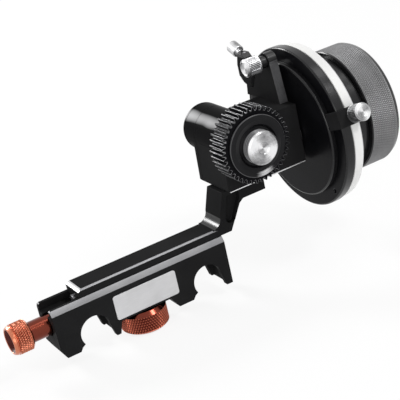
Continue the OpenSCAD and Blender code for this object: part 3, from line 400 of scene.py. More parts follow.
# Bevels on the gear's tooth edges, much lighter than the teeth: worn edges with a painted highlight on
# them.
TOOTH_EDGE_WEAR_AND_HIGHLIGHT = Finish("tooth_edge_wear_and_highlight", (0.24, 0.24, 0.25), (0.06, 0.06, 0.06), (0.26, 0.36), metallic=0.6,
                    patterns=(Grain(0.4, 0.002),), cloud_size=2.0)
# Its groove setting paints shade into the knurl's grooves.
ORANGE_KNURL = Finish("orange_anodised", (0.66, 0.215, 0.115), (0.15, 0.020, 0.011), (0.20, 0.30),
                      metallic=1.0, coat=0.3, patterns=(Grain(0.25, 0.002),), spread=0.7, middle=0.82,
                      groove=0.75)
# The knobs' orange, smoother and darker for the smooth collar and rim: the darker colour is painted shade.
ORANGE_SMOOTH_SHADED = Finish("orange_smooth_shaded", (0.19, 0.033, 0.015), (0.12, 0.018, 0.009), (0.14, 0.20),
                       metallic=1.0, coat=0.3, patterns=(Grain(0.25, 0.0015),))
# A darker copy of the knobs' orange for the bottom knob: painted shade from the clamp above it.
ORANGE_SHADED = Finish("orange_shaded", (0.42, 0.105, 0.055), (0.10, 0.013, 0.008), (0.20, 0.30),
                     metallic=1.0, coat=0.2, patterns=(Grain(0.25, 0.002),), spread=0.7, middle=0.82,
                     groove=0.8)
# Dark orange for the side knob's recess: painted shade in the hollow.
ORANGE_RECESS_SHADE = Finish("orange_recess_shade", (0.090, 0.011, 0.007), (0.050, 0.006, 0.004), (0.40, 0.50),
                       specular=0.2, patterns=(Grain(0.25, 0.002),))
STEEL = Finish("zinc_steel", (0.55, 0.55, 0.57), (0.40, 0.40, 0.42), (0.25, 0.38), metallic=1.0,
               patterns=(Grain(0.3, 0.002),), cloud_size=4.0)
BEARING_STEEL = Finish("bearing_steel", (0.62, 0.62, 0.64), (0.50, 0.50, 0.52), (0.15, 0.26), metallic=1.0,
                       patterns=(Grain(0.2, 0.001),), cloud_size=4.0)
BRASS = Finish("brass", (0.78, 0.56, 0.22), (0.62, 0.42, 0.15), (0.22, 0.36), metallic=1.0,
               patterns=(Grain(0.3, 0.002),), cloud_size=4.0)
PLATE = Finish("nameplate", (0.66, 0.66, 0.67), (0.54, 0.54, 0.55), (0.34, 0.48), metallic=0.4,
               patterns=(Grain(0.12, 0.002, stretch=(40.0, 1.0, 1.0)),), cloud_size=9.0)
WHITE_PLASTIC = Finish("white_plastic", (0.86, 0.86, 0.85), (0.80, 0.80, 0.79), (0.42, 0.55),
                       patterns=(Grain(0.4, 0.003),))
# Its groove setting paints shade into the knurl's grooves.
KNURLED_GRIP = Finish("knurled_grip", (0.36, 0.36, 0.365), (0.05, 0.05, 0.052), (0.34, 0.46), metallic=0.5,
                      patterns=(Grain(0.3, 0.004),), spread=0.8, middle=0.78, groove=0.75)
# Its groove setting paints shade into the rings' grooves.
THUMB_SIDE = Finish("thumb_side", (0.34, 0.34, 0.35), (0.01, 0.01, 0.01), (0.30, 0.40), metallic=0.35,
                    patterns=(Grain(0.2, 0.002),), spread=0.6, middle=0.8, groove=1.2)
SEAL_RUBBER = Finish("seal_rubber", (0.02, 0.02, 0.02), (0.012, 0.012, 0.012), (0.6, 0.75),
                     patterns=(Grain(0.3, 0.006),))

SILVER_PAINTED_FAN_ANGLE = 125.0  # degrees round the axis to the painted highlight fans of a turned face


def silver(axis: Axis, name: str) -> Finish:
    """Bright turned metal whose tool marks run round one axis, with painted highlight fans and painted
    shade in its knurl's grooves.
    """
    return Finish(name, (0.86, 0.86, 0.87), (0.13, 0.13, 0.135), (0.20, 0.30), metallic=0.75,
                  patterns=(ToolMarks(axis, 0.16, 0.0035), PaintedFans(axis, SILVER_PAINTED_FAN_ANGLE)), cloud_size=3.0,
                  middle=0.74, groove=1.0)


def turned_black(axis: Axis, name: str) -> Finish:
    """Black anodised metal with faint tool marks round one axis."""
    return Finish(name, (0.010, 0.010, 0.011), (0.006, 0.006, 0.007), (0.18, 0.26), specular=0.30,
                  patterns=(ToolMarks(axis, 0.22, 0.0012), Grain(0.25, 0.0015)))


def turned_face(axis: Axis, name: str) -> Finish:
    """The flat faces of the same metal, which show less sheen."""
    return Finish(name, (0.006, 0.006, 0.007), (0.004, 0.004, 0.005), (0.26, 0.36), specular=0.05,
                  patterns=(ToolMarks(axis, 0.22, 0.0012), Grain(0.25, 0.0015)))


def boss_black_painted_highlight(axis: Axis, glint: float) -> Finish:
    """Black metal of the round boss, with one painted highlight: a bright stripe at an angle round its
    axis.
    """
    stripe = PaintedFans(axis, glint, halvings=3, single=True)
    return Finish("boss_black_painted_highlight", (0.85, 0.85, 0.86), (0.008, 0.008, 0.0085), (0.28, 0.36), specular=0.005,
                  patterns=(stripe, ToolMarks(axis, 0.22, 0.0012)), cloud_size=30.0, spread=5.0,
                  middle=-0.1)


def flange_band_painted_highlight(axis: Axis, glint: float) -> Finish:
    """The flange's outer band, with a painted highlight on one side of its axis."""
    side = PaintedFans(axis, glint, halvings=3, single=True)
    return Finish("flange_band_painted_highlight", (0.80, 0.80, 0.81), (0.010, 0.010, 0.011), (0.26, 0.34), specular=0.1,
                  patterns=(side, ToolMarks(axis, 0.22, 0.0015)), cloud_size=60.0, spread=6.0,
                  middle=-0.3)


def flange_black(axis: Axis) -> Finish:
    """The flange's turned dish, with faint painted highlight fans."""
    return Finish("flange_black", (0.022, 0.022, 0.023), (0.008, 0.008, 0.009), (0.26, 0.34),
                  specular=0.1, patterns=(PaintedFans(axis, SILVER_PAINTED_FAN_ANGLE), ToolMarks(axis, 0.22, 0.002)),
                  cloud_size=6.0)


def grey_retainer(axis: Axis) -> Finish:
    """Grey turned metal of the thin ring behind the marking ring."""
    return Finish("grey_retainer", (0.64, 0.64, 0.65), (0.50, 0.50, 0.51), (0.3, 0.4), metallic=0.3,
                  patterns=(ToolMarks(axis, 0.2, 0.002),))


# ---------- meshes ----------

SHARP_ANGLE = 42.0  # degrees; an edge sharper than this stays sharp
EASED_ANGLE = 33.0  # degrees; an edge of a CAD copy sharper than this is eased
FLAT_ANGLE = 0.8  # degrees; faces of a CAD copy that meet at less than this are joined
BEVEL_SPANS = 3
ROUND_SPANS = 4
SIDE_SHARE = 0.42  # largest share of a side that the rounding at one end of it takes
HOLD_SHARE = 0.12  # how far past a rounding its holding point lies, as a share of the rounding
SAME_PLACE = 1e-7  # metres; points closer than this are one point
PLACE_DIGITS = 4  # decimals of a millimetre that tell a CAD node's points apart
ON_AXIS = 1e-6  # millimetres; a profile point this near to the axis is a pole
OUTER_SHARE = 0.6  # a relief is cut only beyond this share of the largest radius
LEAN = 0.3  # a face leans towards a direction when its normal's part along it is above this


def box_of(node: str) -> tuple[np.ndarray, np.ndarray]:
    """Lowest and highest corner of a CAD node in millimetres."""
    low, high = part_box(node)
    return np.array(low) / MM, np.array(high) / MM


def turned_size(node: str, along: int, across: int) -> tuple[float, float, float]:
    """Start and end of a turned CAD node along one column, and its radius read on another."""
    low, high = box_of(node)
    return low[along], high[along], (high[across] - low[across]) / 2


def axis_of(node: str, along: Triple) -> Axis:
    """The axis through the middle of a turned CAD node.

    Args:
        node: The node's name.
        along: The axis's direction, one of the frame's own.

    Returns:
        The axis, whose distances are the frame's own coordinates along it.
    """
    low, high = box_of(node)
    middle = (low + high) / 2 * (1.0 - np.abs(np.array(along)))
    return Axis(tuple(middle), along, (along[Z], along[X], along[Y]))


def inset(points: Outline, end: float, radius: float, sense: float = 1.0) -> list[tuple[float, float]]:
    """Profile points measured in from one end of a turned piece.

    Args:
        points: Pairs of (distance in from the end, depth below the radius).
        end: Where the end lies along the axis.
        radius: The piece's radius.
        sense: 1 at the end where the axis comes in, -1 at the one where it goes out.

    Returns:
        Points as (distance along the axis, radius).
    """
    return [(end + sense * along, radius - depth) for along, depth in points]


def rounded(points: Outline, radius: float | Sequence[float], closed: bool = False) -> np.ndarray:
    """Rounds the corners of an outline.

    Each corner P becomes a curve from A to B, points at the rounding's distance along its two sides:
    (1 - t)^2 A + 2 t (1 - t) P + t^2 B. One more point on each side, a little further out, keeps the
    flat beside it flat.

    Args:
        points: Corners, in order.
        radius: Distance that each rounding takes from its sides, for all corners or one each.
        closed: False leaves the first and last corner as they are.

    Returns:
        The rounded outline.
    """
    corners = np.array(points, float)
    sides = [np.roll(corners, turn, axis=0) - corners for turn in (1, -1)]
    lengths = [np.linalg.norm(side, axis=1) for side in sides]
    reach = np.minimum(radius, SIDE_SHARE * np.minimum(*lengths))[:, None, None]
    before, after = ((side / length[:, None])[:, None, :] for side, length in zip(sides, lengths))
    t = np.linspace(0.0, 1.0, ROUND_SPANS + 1)[None, :, None]
    middle = corners[:, None, :]
    start, end = middle + before * reach, middle + after * reach
    curve = (1 - t) ** 2 * start + 2 * t * (1 - t) * middle + t**2 * end
    hold = HOLD_SHARE * reach
    full = np.concatenate([start + before * hold, curve, end + after * hold], axis=1)
    if closed:
        return full.reshape(-1, 2)
    return np.vstack([corners[:1], full[1:-1].reshape(-1, 2), corners[-1:]])


class Knurl(Enum):
    """How a band of a turned piece is cut."""

    DIAMOND = "diamond"
    STRAIGHT = "straight"
    RINGS = "rings"


@dataclass(frozen=True)
class Relief:
    """A knurl or a set of rings for a band of a turned piece, and how fine a mesh it needs.

    around counts the ridges round the piece, and pitch is their length along it. rows counts the mesh's
    points along the band, ends included, and steps those round each ridge. fade is the length over which
    the pattern runs out at both ends, flat how far its tops are levelled, and lead a plain stretch
    before it.
    """

    knurl: Knurl
    around: int
    depth: float
    rows: int
    steps: int
    pitch: float = 1.0
    fade: float = 0.35
    flat: float = 1.35
    lead: float = 0.0

    def cut(self, angle: np.ndarray, along: np.ndarray, start: float, end: float) -> np.ndarray:
        """How deep the pattern is cut.

        A ridge is 1 - |2 frac(s) - 1|, where s counts ridges. A diamond's s is the angle's count plus
        and minus the count along the axis, and the lower of the two ridges stands. Rings are a cosine of
        the count along the axis. The tops are levelled, and the pattern fades out at both ends.

        Args:
            angle: Angles round the axis, in radians.
            along: Distances along the axis.
            start: Where the band starts along the axis.
            end: Where it ends.

        Returns:
            Depths below the band's radius.
        """
        from_start = along - (start + self.lead)
        turns = angle * self.around / (2 * np.pi)
        rows = from_start / self.pitch

        def ridge(count: np.ndarray) -> np.ndarray:
            """1 - |2 frac(count) - 1|."""
            return 1 - np.abs(2 * (count - np.floor(count)) - 1)

        if self.knurl is Knurl.DIAMOND:
            height = np.minimum(ridge(turns + rows / 2), ridge(turns - rows / 2))
        elif self.knurl is Knurl.STRAIGHT:
            height = ridge(turns)
        else:
            height = 0.5 - 0.5 * np.cos(2 * np.pi * rows)
        height = np.minimum(1.0, height * self.flat)
        inside = np.clip(np.minimum(from_start, end - along) / self.fade, 0, 1)
        return self.depth * (1 - height) * inside


SILVER_KNURL = Relief(Knurl.STRAIGHT, around=34, depth=0.34, rows=14, steps=8, fade=0.4)


def outward(points: np.ndarray, faces: np.ndarray) -> np.ndarray:
    """Turns the quads of a closed surface so that they face outwards.

    The volume they hold, the sum of a . (b x c) / 6 over their triangles, is then above 0.

    Args:
        points: One point a row.
        faces: Quads, one a row.

    Returns:
        The quads, as they are or all turned round.
    """
    a, b, c, d = (points[faces[:, i]] for i in range(4))
    volume = np.einsum("ij,ij->i", a, np.cross(b, c)).sum() + np.einsum("ij,ij->i", a, np.cross(c, d)).sum()
    return faces if volume > 0 else faces[:, ::-1]


def to_mesh(name: str, points: np.ndarray, faces: np.ndarray, merge: bool = False,
            groove: np.ndarray | None = None) -> bpy.types.Object:
    """Makes an object of points in millimetres.

    Args:
        name: The object's name.
        points: One point a row.
        faces: Triangles or quads, one a row.
        merge: Joins points that lie together, which closes a pole.
        groove: How deep in a knurl's groove each point lies, 0 to 1.

    Returns:
        The object, linked to the scene, with its place in its mesh.
    """
    mesh = bpy.data.meshes.new(name)
    mesh.from_pydata((points * MM).tolist(), [], faces.tolist())
    if groove is not None:
        mesh.attributes.new("groove", "FLOAT", "POINT").data.foreach_set("value", groove.astype(np.float32))
    if merge:
        work = bmesh.new()
        work.from_mesh(mesh)
        bmesh.ops.remove_doubles(work, verts=work.verts, dist=SAME_PLACE)
        work.to_mesh(mesh)
        work.free()
    mesh.shade_smooth()
    mesh.set_sharp_from_angle(angle=math.radians(SHARP_ANGLE))
    mesh.validate()
    made = bpy.data.objects.new(name, mesh)
    bpy.context.scene.collection.objects.link(made)
    return made


def turned(name: str, profile: np.ndarray, axis: Axis, segments: int, relief: Relief | None = None,
           span: tuple[float, float] = (0.0, 0.0)) -> bpy.types.Object:
    """A turned piece: the closed profile carried round its axis, less what its relief cuts.

    Args:
        name: The object's name.
        profile: Points as (distance along the axis, radius), going once round the section.
        axis: The turning axis.
        segments: Steps round the axis.
        relief: Pattern to cut, if any.
        span: Where the pattern's band starts and ends along the axis.

    Returns:
        The piece.
    """
    rows = len(profile)
    angle = np.linspace(0.0, 2 * np.pi, segments, endpoint=False)[:, None]
    along, radius = (np.broadcast_to(column, (segments, rows)) for column in profile.T)
    groove = None
    if relief:
        depth = np.where(radius > radius.max() * OUTER_SHARE, relief.cut(angle, along, *span), 0.0)
        radius, groove = radius - depth, (depth / relief.depth).reshape(-1)
    points = axis.points(along, radius, np.broadcast_to(angle, along.shape)).reshape(-1, 3)
    i, j = np.meshgrid(np.arange(segments), np.arange(rows), indexing="ij")
    i2, j2 = (i + 1) % segments, (j + 1) % rows
    faces = np.stack([i * rows + j, i * rows + j2, i2 * rows + j2, i2 * rows + j], axis=-1).reshape(-1, 4)
    on_axis = profile[:, 1] < ON_AXIS
    pole_span = on_axis & np.roll(on_axis, -1)
    faces = faces[~pole_span[faces[:, 0] % rows]]
    return to_mesh(name, points, outward(points, faces), merge=bool(on_axis.any()), groove=groove)


def knurled(name: str, front: np.ndarray, back: np.ndarray, axis: Axis, relief: Relief) -> bpy.types.Object:
    """A turned piece with a relief on the straight band between its two ends.

    Args:
        name: The object's name.
        front: Profile up to the band's start.
        back: Profile from the band's end on.
        axis: The turning axis.
        relief: Pattern of the band.

    Returns:
        The piece.
    """
    (start, radius), end = front[-1], back[0, 0]
    along = np.linspace(start, end, relief.rows)[1:-1]
    band = np.stack([along, np.full(len(along), radius)], axis=1)
    return turned(name, np.vstack([front, band, back]), axis, relief.around * relief.steps, relief,
                  (start, end))


def node_surface(node: str) -> tuple[np.ndarray, np.ndarray]:
    """Reads a CAD node's surface.

    Args:
        node: The node's name.

    Returns:
        Its points in millimetres, with those that lie together merged, and its triangles.
    """
    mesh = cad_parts[node].data
    place = np.empty(len(mesh.vertices) * 3, np.float32)
    mesh.vertices.foreach_get("co", place)
    corners = np.empty(len(mesh.loops), np.int32)
    mesh.loops.foreach_get("vertex_index", corners)
    places = np.round(place.reshape(-1, 3) / MM, PLACE_DIGITS)
    points, merged = np.unique(places, axis=0, return_inverse=True)
    triangles = merged.reshape(-1)[corners].reshape(-1, 3)
    whole = (triangles != np.roll(triangles, 1, axis=1)).all(axis=1)
    return points.astype(float), triangles[whole]


FaceRule = Callable[[np.ndarray, np.ndarray], np.ndarray]


def paint(piece: bpy.types.Object, *finishes: Finish, rule: FaceRule | None = None) -> bpy.types.Object:
    """Gives a new piece its finishes.

    Args:
        piece: The piece.
        finishes: Finishes in the order of their material numbers.
        rule: Gives faces their material numbers from their centres in millimetres and normals.

    Returns:
        The piece.
    """
    mesh = piece.data
    for finish in finishes:
        mesh.materials.append(finish.material)
    if rule:
        count = len(mesh.polygons)
        centre, normal = np.empty(count * 3, np.float32), np.empty(count * 3, np.float32)
        mesh.polygons.foreach_get("center", centre)
        mesh.polygons.foreach_get("normal", normal)
        numbers = rule(centre.reshape(-1, 3) / MM, normal.reshape(-1, 3)).astype(np.int32)
        mesh.polygons.foreach_set("material_index", numbers)
    return piece


def eased_copy(node: str, width: float, *finishes: Finish, rule: FaceRule | None = None,
               edge: int = -1, angle: float = EASED_ANGLE) -> bpy.types.Object:
    """A copy of a CAD node whose sharp edges are eased with a small bevel.

    Args:
        node: The node's name.
        width: Width of the bevel.
        finishes: Finishes in the order of their material numbers.
        rule: Gives faces their material numbers, as in paint.
        edge: Material number of the bevel; -1 takes that of the faces beside it.
        angle: Edges sharper than this angle in degrees are eased.

    Returns:
        The copy.
    """
    made = to_mesh(f"{node}_eased", *node_surface(node))
    work = bmesh.new()
    work.from_mesh(made.data)
    bmesh.ops.dissolve_limit(work, angle_limit=math.radians(FLAT_ANGLE), verts=work.verts, edges=work.edges)
    work.to_mesh(made.data)
    work.free()
    paint(made, *finishes, rule=rule)
    made.data.shade_smooth()
    bevel = made.modifiers.new("eased_edges", "BEVEL")
    bevel.width = width * MM
    bevel.segments = BEVEL_SPANS
    bevel.limit_method = "ANGLE"
    bevel.angle_limit = math.radians(angle)
    bevel.use_clamp_overlap = False
    bevel.material = edge
    even = made.modifiers.new("even_shading", "WEIGHTED_NORMAL")
    even.keep_sharp = True
    return made


def settle(piece: bpy.types.Object, body: str, slot: str, *nodes: str) -> None:
    """Gives a new piece its place in the assembly.

    Args:
        piece: The piece.
        body: Body that it rides on.
        slot: Its material slot; not used.
        nodes: CAD nodes that it stands for.
    """
    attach(piece, body)
    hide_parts(*nodes)
    log.info("%s: %d faces, rides on %s", piece.name, len(piece.data.polygons), body)


def dress(finish: Finish, *nodes: str) -> None:
    """Gives CAD nodes that keep their own shape a finish.

    Args:
        finish: The finish.
        nodes: The nodes' names.
    """
    for node in nodes:
        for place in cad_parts[node].material_slots:
            place.material = finish.material
        log.info("%s: dressed in %s", node, finish.name)


# ---------- sub-assemblies ----------


@dataclass
class RodClamp:
    """The clamp block, its bare plate, and the bushes and pads inside it."""

    edge: float = 0.22
    slope_h: float = 3.0
    level: float = 0.9
    plate_edge: float = 0.14

    def build(self) -> None:
        """Makes the block with bare sloped edges along its top, and dresses the small pieces."""
        top = box_of("rod_clamp")[1][Z]

        def slopes(centre: np.ndarray, normal: np.ndarray) -> np.ndarray:
            """1 on the slopes along the top, 0 elsewhere."""
            sloped = (normal[:, Z] > LEAN) & (normal[:, Z] < self.level)
            return np.where(sloped & (centre[:, Z] > top - self.slope_h), 1, 0)

        block = eased_copy("rod_clamp", self.edge, BLACK_ANODISED, BARE_SLOPE, rule=slopes)
        settle(block, "clamp", "black_anodised", "rod_clamp")
        plate = eased_copy("nameplate", self.plate_edge, PLATE)
        settle(plate, "clamp", "nameplate", "nameplate")
        dress(STEEL, "side_bush", "bottom_bush")
        dress(BRASS, "side_pad", "lock_shoe")


@dataclass
class LockKnobs:
    """The two orange lock knobs and their screws.

    The side knob has a recess in its face, a lip and a groove round its cap, a fine knurl, a shoulder and
    a collar. The bottom knob has a dish under it, a coarse knurl and a slope above it. Names that end
    in _in are depths below a head's radius.
    """

    head_len: float = 9.8
    recess: float = 2.2
    recess_in: float = 2.8
    cap: Outline = ((0.0, 1.6), (0.2, 0.9), (1.5, 0.3), (1.6, 0.8), (2.1, 0.8))
    cap_end: float = 2.3
    shoulder: float = 1.1
    shoulder_in: float = 1.4
    collar_r: float = 4.9
    fine: Relief = Relief(Knurl.DIAMOND, around=40, depth=0.42, rows=66, steps=9, pitch=1.1)
    deep_finish_in: float = 1.8
    finish_past: float = 0.2
    dish: float = 0.8
    dish_shares: tuple[float, float] = (0.55, 0.6)
    lead: float = 1.1
    lead_in: float = 1.3
    slope: float = 1.9
    slope_in: float = 1.6
    coarse: Relief = Relief(Knurl.DIAMOND, around=56, depth=0.48, rows=46, steps=8, pitch=1.25)

    def build(self) -> None:
        """Makes both knobs and dresses their screws."""
        self.side_knob()
        self.bottom_knob()
        dress(STEEL, "side_screw", "bottom_screw")

    def side_knob(self) -> None:
        """A head with a smooth grooved cap and a fine diamond knurl, and a smooth collar."""
        x0, x2, r = turned_size("side_knob", X, Z)
        x1 = x0 + self.head_len
        axis = axis_of("side_knob", ALONG_X)
        left = rounded([(x0 + self.recess, 0), (x0 + self.recess, r - self.recess_in),
                        *inset(self.cap, x0, r), (x0 + self.cap_end, r)], radius=0.25)
        right = rounded([(x1 - self.shoulder, r), (x1, r - self.shoulder_in), (x1, self.collar_r),
                         (x2, self.collar_r), (x2, 0)], radius=0.25)
        piece = knurled("side_knob_turned", left, right, axis, self.fine)

        def hollow(centre: np.ndarray, normal: np.ndarray) -> np.ndarray:
            """1 in the recess, 2 on the collar, 0 on the head; the recess and the collar get darker copies
            of the orange as painted shade.
            """
            recess = ((centre[:, X] < x0 + self.recess + self.finish_past)
                      & (axis.radius_of(centre) < r - self.deep_finish_in))
            return np.select([recess, centre[:, X] > x1 - self.finish_past], [1, 2], 0)

        paint(piece, ORANGE_KNURL, ORANGE_RECESS_SHADE, ORANGE_SMOOTH_SHADED, rule=hollow)
        settle(piece, "side_knob", "orange_anodised", "side_knob")

    def bottom_knob(self) -> None:
        """A wide disc with a coarse diamond knurl and a smooth sloped rim above it."""
        z0, z1, r = turned_size("bottom_knob", Z, X)
        floor_r, mouth_r = (r * share for share in self.dish_shares)
        rim_top = z1 - self.slope
        under = rounded([(z0 + self.dish, 0), (z0 + self.dish, floor_r), (z0, mouth_r),
                         (z0, r - self.lead_in), (z0 + self.lead, r)], radius=0.3)
        top = rounded([(rim_top, r), (z1, r - self.slope_in), (z1, 0)], radius=0.3)
        piece = knurled("bottom_knob_turned", under, top, axis_of("bottom_knob", ALONG_Z), self.coarse)

        def rim_slope(centre: np.ndarray, normal: np.ndarray) -> np.ndarray:
            """1 on the slope above the knurl, which gets a darker copy of the orange as painted shade, 0
            elsewhere.
            """
            return np.where(centre[:, Z] > rim_top, 1, 0)

        # Both finishes are darker copies of the knobs' orange: painted shade.
        paint(piece, ORANGE_SHADED, ORANGE_SMOOTH_SHADED, rule=rim_slope)
        settle(piece, "bottom_knob", "orange_anodised", "bottom_knob")


@dataclass
class Arm:
    """The sliding arm with its stem, and the screws in it."""

    edge: float = 0.25
    foot_len: float = 10.0
    slope_h: float = 1.5
    slope_past: float = 0.02
    level: float = 0.95
    fillet: float = 5.0
    fillet_lean: float = 0.1

    def build(self) -> None:
        """Makes the arm with bare slopes along its top and dresses its screws."""
        points, _ = node_surface("arm")
        foot = points[:, X] < points[:, X].min() + self.foot_len
        top = points[foot, Z].max()

        def slopes(centre: np.ndarray, normal: np.ndarray) -> np.ndarray:
            """Finds the slopes along the arm's top and the fillet where the stem leaves it.

            Args:
                centre: The faces' centres.
                normal: Their normals.

            Returns:
                1 on the front slope, 2 on the end slope, 3 on the fillet, 0 elsewhere.
            """
            across, forward, up = normal.T
            near_top = np.abs(centre[:, Z] + self.slope_h / 2 - top) < self.slope_h / 2 + self.slope_past
            sloped = near_top & (up > LEAN) & (up < self.level)
            fillet = ((centre[:, Z] > top) & (centre[:, Z] < top + self.fillet)
                      & (up > self.fillet_lean) & (across < -self.fillet_lean))
            return np.select([fillet, sloped & (across < -LEAN), sloped & (forward < -LEAN)], [3, 2, 1], 0)

        arm = eased_copy("arm", self.edge, BLACK_ANODISED, BARE_SLOPE, BARE_END, BLACK_SHEEN, rule=slopes)
        settle(arm, "arm", "black_anodised", "arm")
        dress(STEEL, "arm_stop_screw", "mounting_screws")


@dataclass
class Gearbox:
    """Housing, cover and rear cap."""

    edge: float = 0.25
    foot_h: float = 1.0
    boss_r: float = 11.5
    boss_past: float = 0.3
    boss_lean: float = 0.5
    # Angle round the boss's axis of its painted highlight stripe.
    boss_glint: float = -41.0

    def build(self) -> None:
        """Makes the shells with eased edges; the edge along the housing's base is bare, and the boss's
        round sides carry a painted highlight stripe.
        """
        low, _ = box_of("gearbox_housing")
        boss = axis_of("rear_cap", ALONG_Y)
        # The boss's finish paints a highlight stripe into its colour.
        round_black_painted_highlight = boss_black_painted_highlight(boss, self.boss_glint)

        def shell(centre: np.ndarray, normal: np.ndarray) -> np.ndarray:
            """Finds the bare edge along the housing's base and the round sides of the boss.

            Args:
                centre: The faces' centres.
                normal: Their normals.

            Returns:
                1 on the bare edge, 2 on the boss, whose finish paints a highlight stripe on it, 0
                elsewhere.
            """
            _, forward, up = normal.T
            front = (centre[:, Y] < low[Y] + self.foot_h) & (centre[:, Z] < low[Z] + self.foot_h)
            foot = front & (forward < -LEAN) & (up < -LEAN)
            on_boss = np.abs(boss.radius_of(centre) - self.boss_r) < self.boss_past
            return np.select([foot, on_boss & (np.abs(forward) < self.boss_lean)], [1, 2], 0)

        for node in ("gearbox_housing", "gearbox_cover", "rear_cap"):
            piece = eased_copy(node, self.edge, BLACK_ANODISED, BARE_FOOT, round_black_painted_highlight, rule=shell)
            settle(piece, "arm", "black_anodised", node)
        dress(STEEL, "cover_screws", "bearing_cover", "bearing_cover_screws")
        dress(BEARING_STEEL, "front_bearing", "rear_bearing", "wheel_bearings")
        dress(BRASS, "cross_bushes")


@dataclass
class DriveGear:
    """Drive gear, its dished front flange, the thumb screw and what turns inside.

    Names that start with thumb are the thumb screw's, the others the gear's and the flange's.
    """

    tooth_edge_wear_and_highlight: float = 0.12
    tooth_angle: float = 30.0
    flange_bore_r: float = 2.8
    flange_back: float = 0.6
    flange_slope: float = 0.5
    flange_web: float = 0.78
    flange_segments: int = 256
    dish_floor: float = 1.2
    dish_mouth: float = 2.2
    # Width of the rim painted lighter as a highlight line; then the angle, width and margin of the outer
    # band's painted highlight.
    rim_highlight_w: float = 0.35
    glint: float = 176.0
    glint_w: float = 2.8
    glint_past: float = 0.1
    thumb_seat: float = 0.83
    thumb_dish: float = 0.5
    thumb_dish_r: tuple[float, float] = (2.6, 3.0)
    thumb_chamfer: float = 0.7
    thumb_side_from: float = 0.75
    thumb_rings: int = 3
    thumb_rings_from: float = 1.0
    thumb_ring_depth: float = 0.4
    thumb_ring_rows: int = 12
    thumb_segments: int = 224
    thumb_root: float = 0.9
    thumb_neck: Outline = ((0.0, 0.0), (0.3, 0.5))
    thumb_shank_r: float = 2.5

    def build(self) -> None:
        """Makes the gear, the flange and the thumb screw, and dresses the shaft's pieces."""
        # The tooth edges' bevels are lighter: wear and a painted highlight.
        gear = eased_copy("drive_gear", self.tooth_edge_wear_and_highlight, GEAR_BLACK, TOOTH_EDGE_WEAR_AND_HIGHLIGHT, edge=1,
                          angle=self.tooth_angle)
        settle(gear, "drive", "black_gear", "drive_gear")
        self.flange()
        self.thumb_screw()
        dress(BEARING_STEEL, "drive_shaft", "cross_shaft", "cross_spacer", "wheel_shaft")
        dress(STEEL, "gear_key", "shaft_clip")
        dress(BRASS, "drive_pinion", "cross_gear", "cross_bevel", "wheel_bevel")

    def flange(self) -> None:
        """A thin dish whose rim slopes outwards; its rim is painted lighter as a highlight line, and one
        side of its outer band carries a painted highlight.
        """
        y0, y1, r = turned_size("gear_flange", Y, X)
        thumb_r = turned_size("thumb_screw", Y, X)[2]
        axis = axis_of("gear_flange", ALONG_Y)
        web = y1 - self.flange_web
        profile = rounded([(y1, self.flange_bore_r), (y1, r - self.flange_back),
                           (y0 + self.flange_slope, r), (y0, r - self.flange_slope),
                           (y0, r - self.glint_w), (y0, thumb_r + self.dish_mouth),
                           (web, thumb_r + self.dish_floor), (web, self.flange_bore_r)],
                          radius=0.2, closed=True)
        piece = turned("gear_flange_turned", profile, axis, self.flange_segments)

        def rim(centre: np.ndarray, normal: np.ndarray) -> np.ndarray:
            """1 on the rim, painted lighter as a highlight line, 2 on the band inside it, 0 in the dish."""
            inwards = r - axis.radius_of(centre)
            return np.select([inwards < self.rim_highlight_w, inwards < self.glint_w - self.glint_past], [1, 2], 0)

        # The rim and one side of the outer band are painted lighter as highlights.
        paint(piece, flange_black(axis), LIGHTER_BLACK, flange_band_painted_highlight(axis, self.glint), rule=rim)
        settle(piece, "drive", "black_gear", "gear_flange")

    def thumb_screw(self) -> None:
        """A turned head with rings round its side and a shallow recess in its face."""
        y0, y1, r = turned_size("thumb_screw", Y, X)
        axis = axis_of("thumb_screw", ALONG_Y)
        seat = box_of("gear_flange")[1][Y] - self.thumb_seat
        floor, (floor_r, mouth_r) = y0 + self.thumb_dish, self.thumb_dish_r
        side, end = y0 + self.thumb_chamfer, seat - self.thumb_root
        neck = inset(self.thumb_neck, end, r)
        face = rounded([(floor, 0), (floor, floor_r), (y0, mouth_r), (y0, r - self.thumb_chamfer),
                        (side, r)], radius=0.15)
        back = rounded([*neck, (seat, neck[-1][1]), (seat, self.thumb_shank_r), (y1, self.thumb_shank_r),
                        (y1, 0)], radius=0.15)
        rings = Relief(Knurl.RINGS, around=1, depth=self.thumb_ring_depth,
                       rows=self.thumb_ring_rows * self.thumb_rings + 1, steps=self.thumb_segments,
                       pitch=(end - y0 - self.thumb_rings_from) / self.thumb_rings, fade=0.1,
                       lead=self.thumb_rings_from - self.thumb_chamfer)
        piece = knurled("thumb_screw_turned", face, back, axis, rings)

        def side_band(centre: np.ndarray, normal: np.ndarray) -> np.ndarray:
            """1 behind the face's edge, 0 on the face."""
            return np.where(centre[:, Y] > y0 + self.thumb_side_from, 1, 0)

        paint(piece, silver(axis, "thumb_silver"), THUMB_SIDE, rule=side_band)
        settle(piece, "thumb_screw", "silver_turned", "thumb_screw")


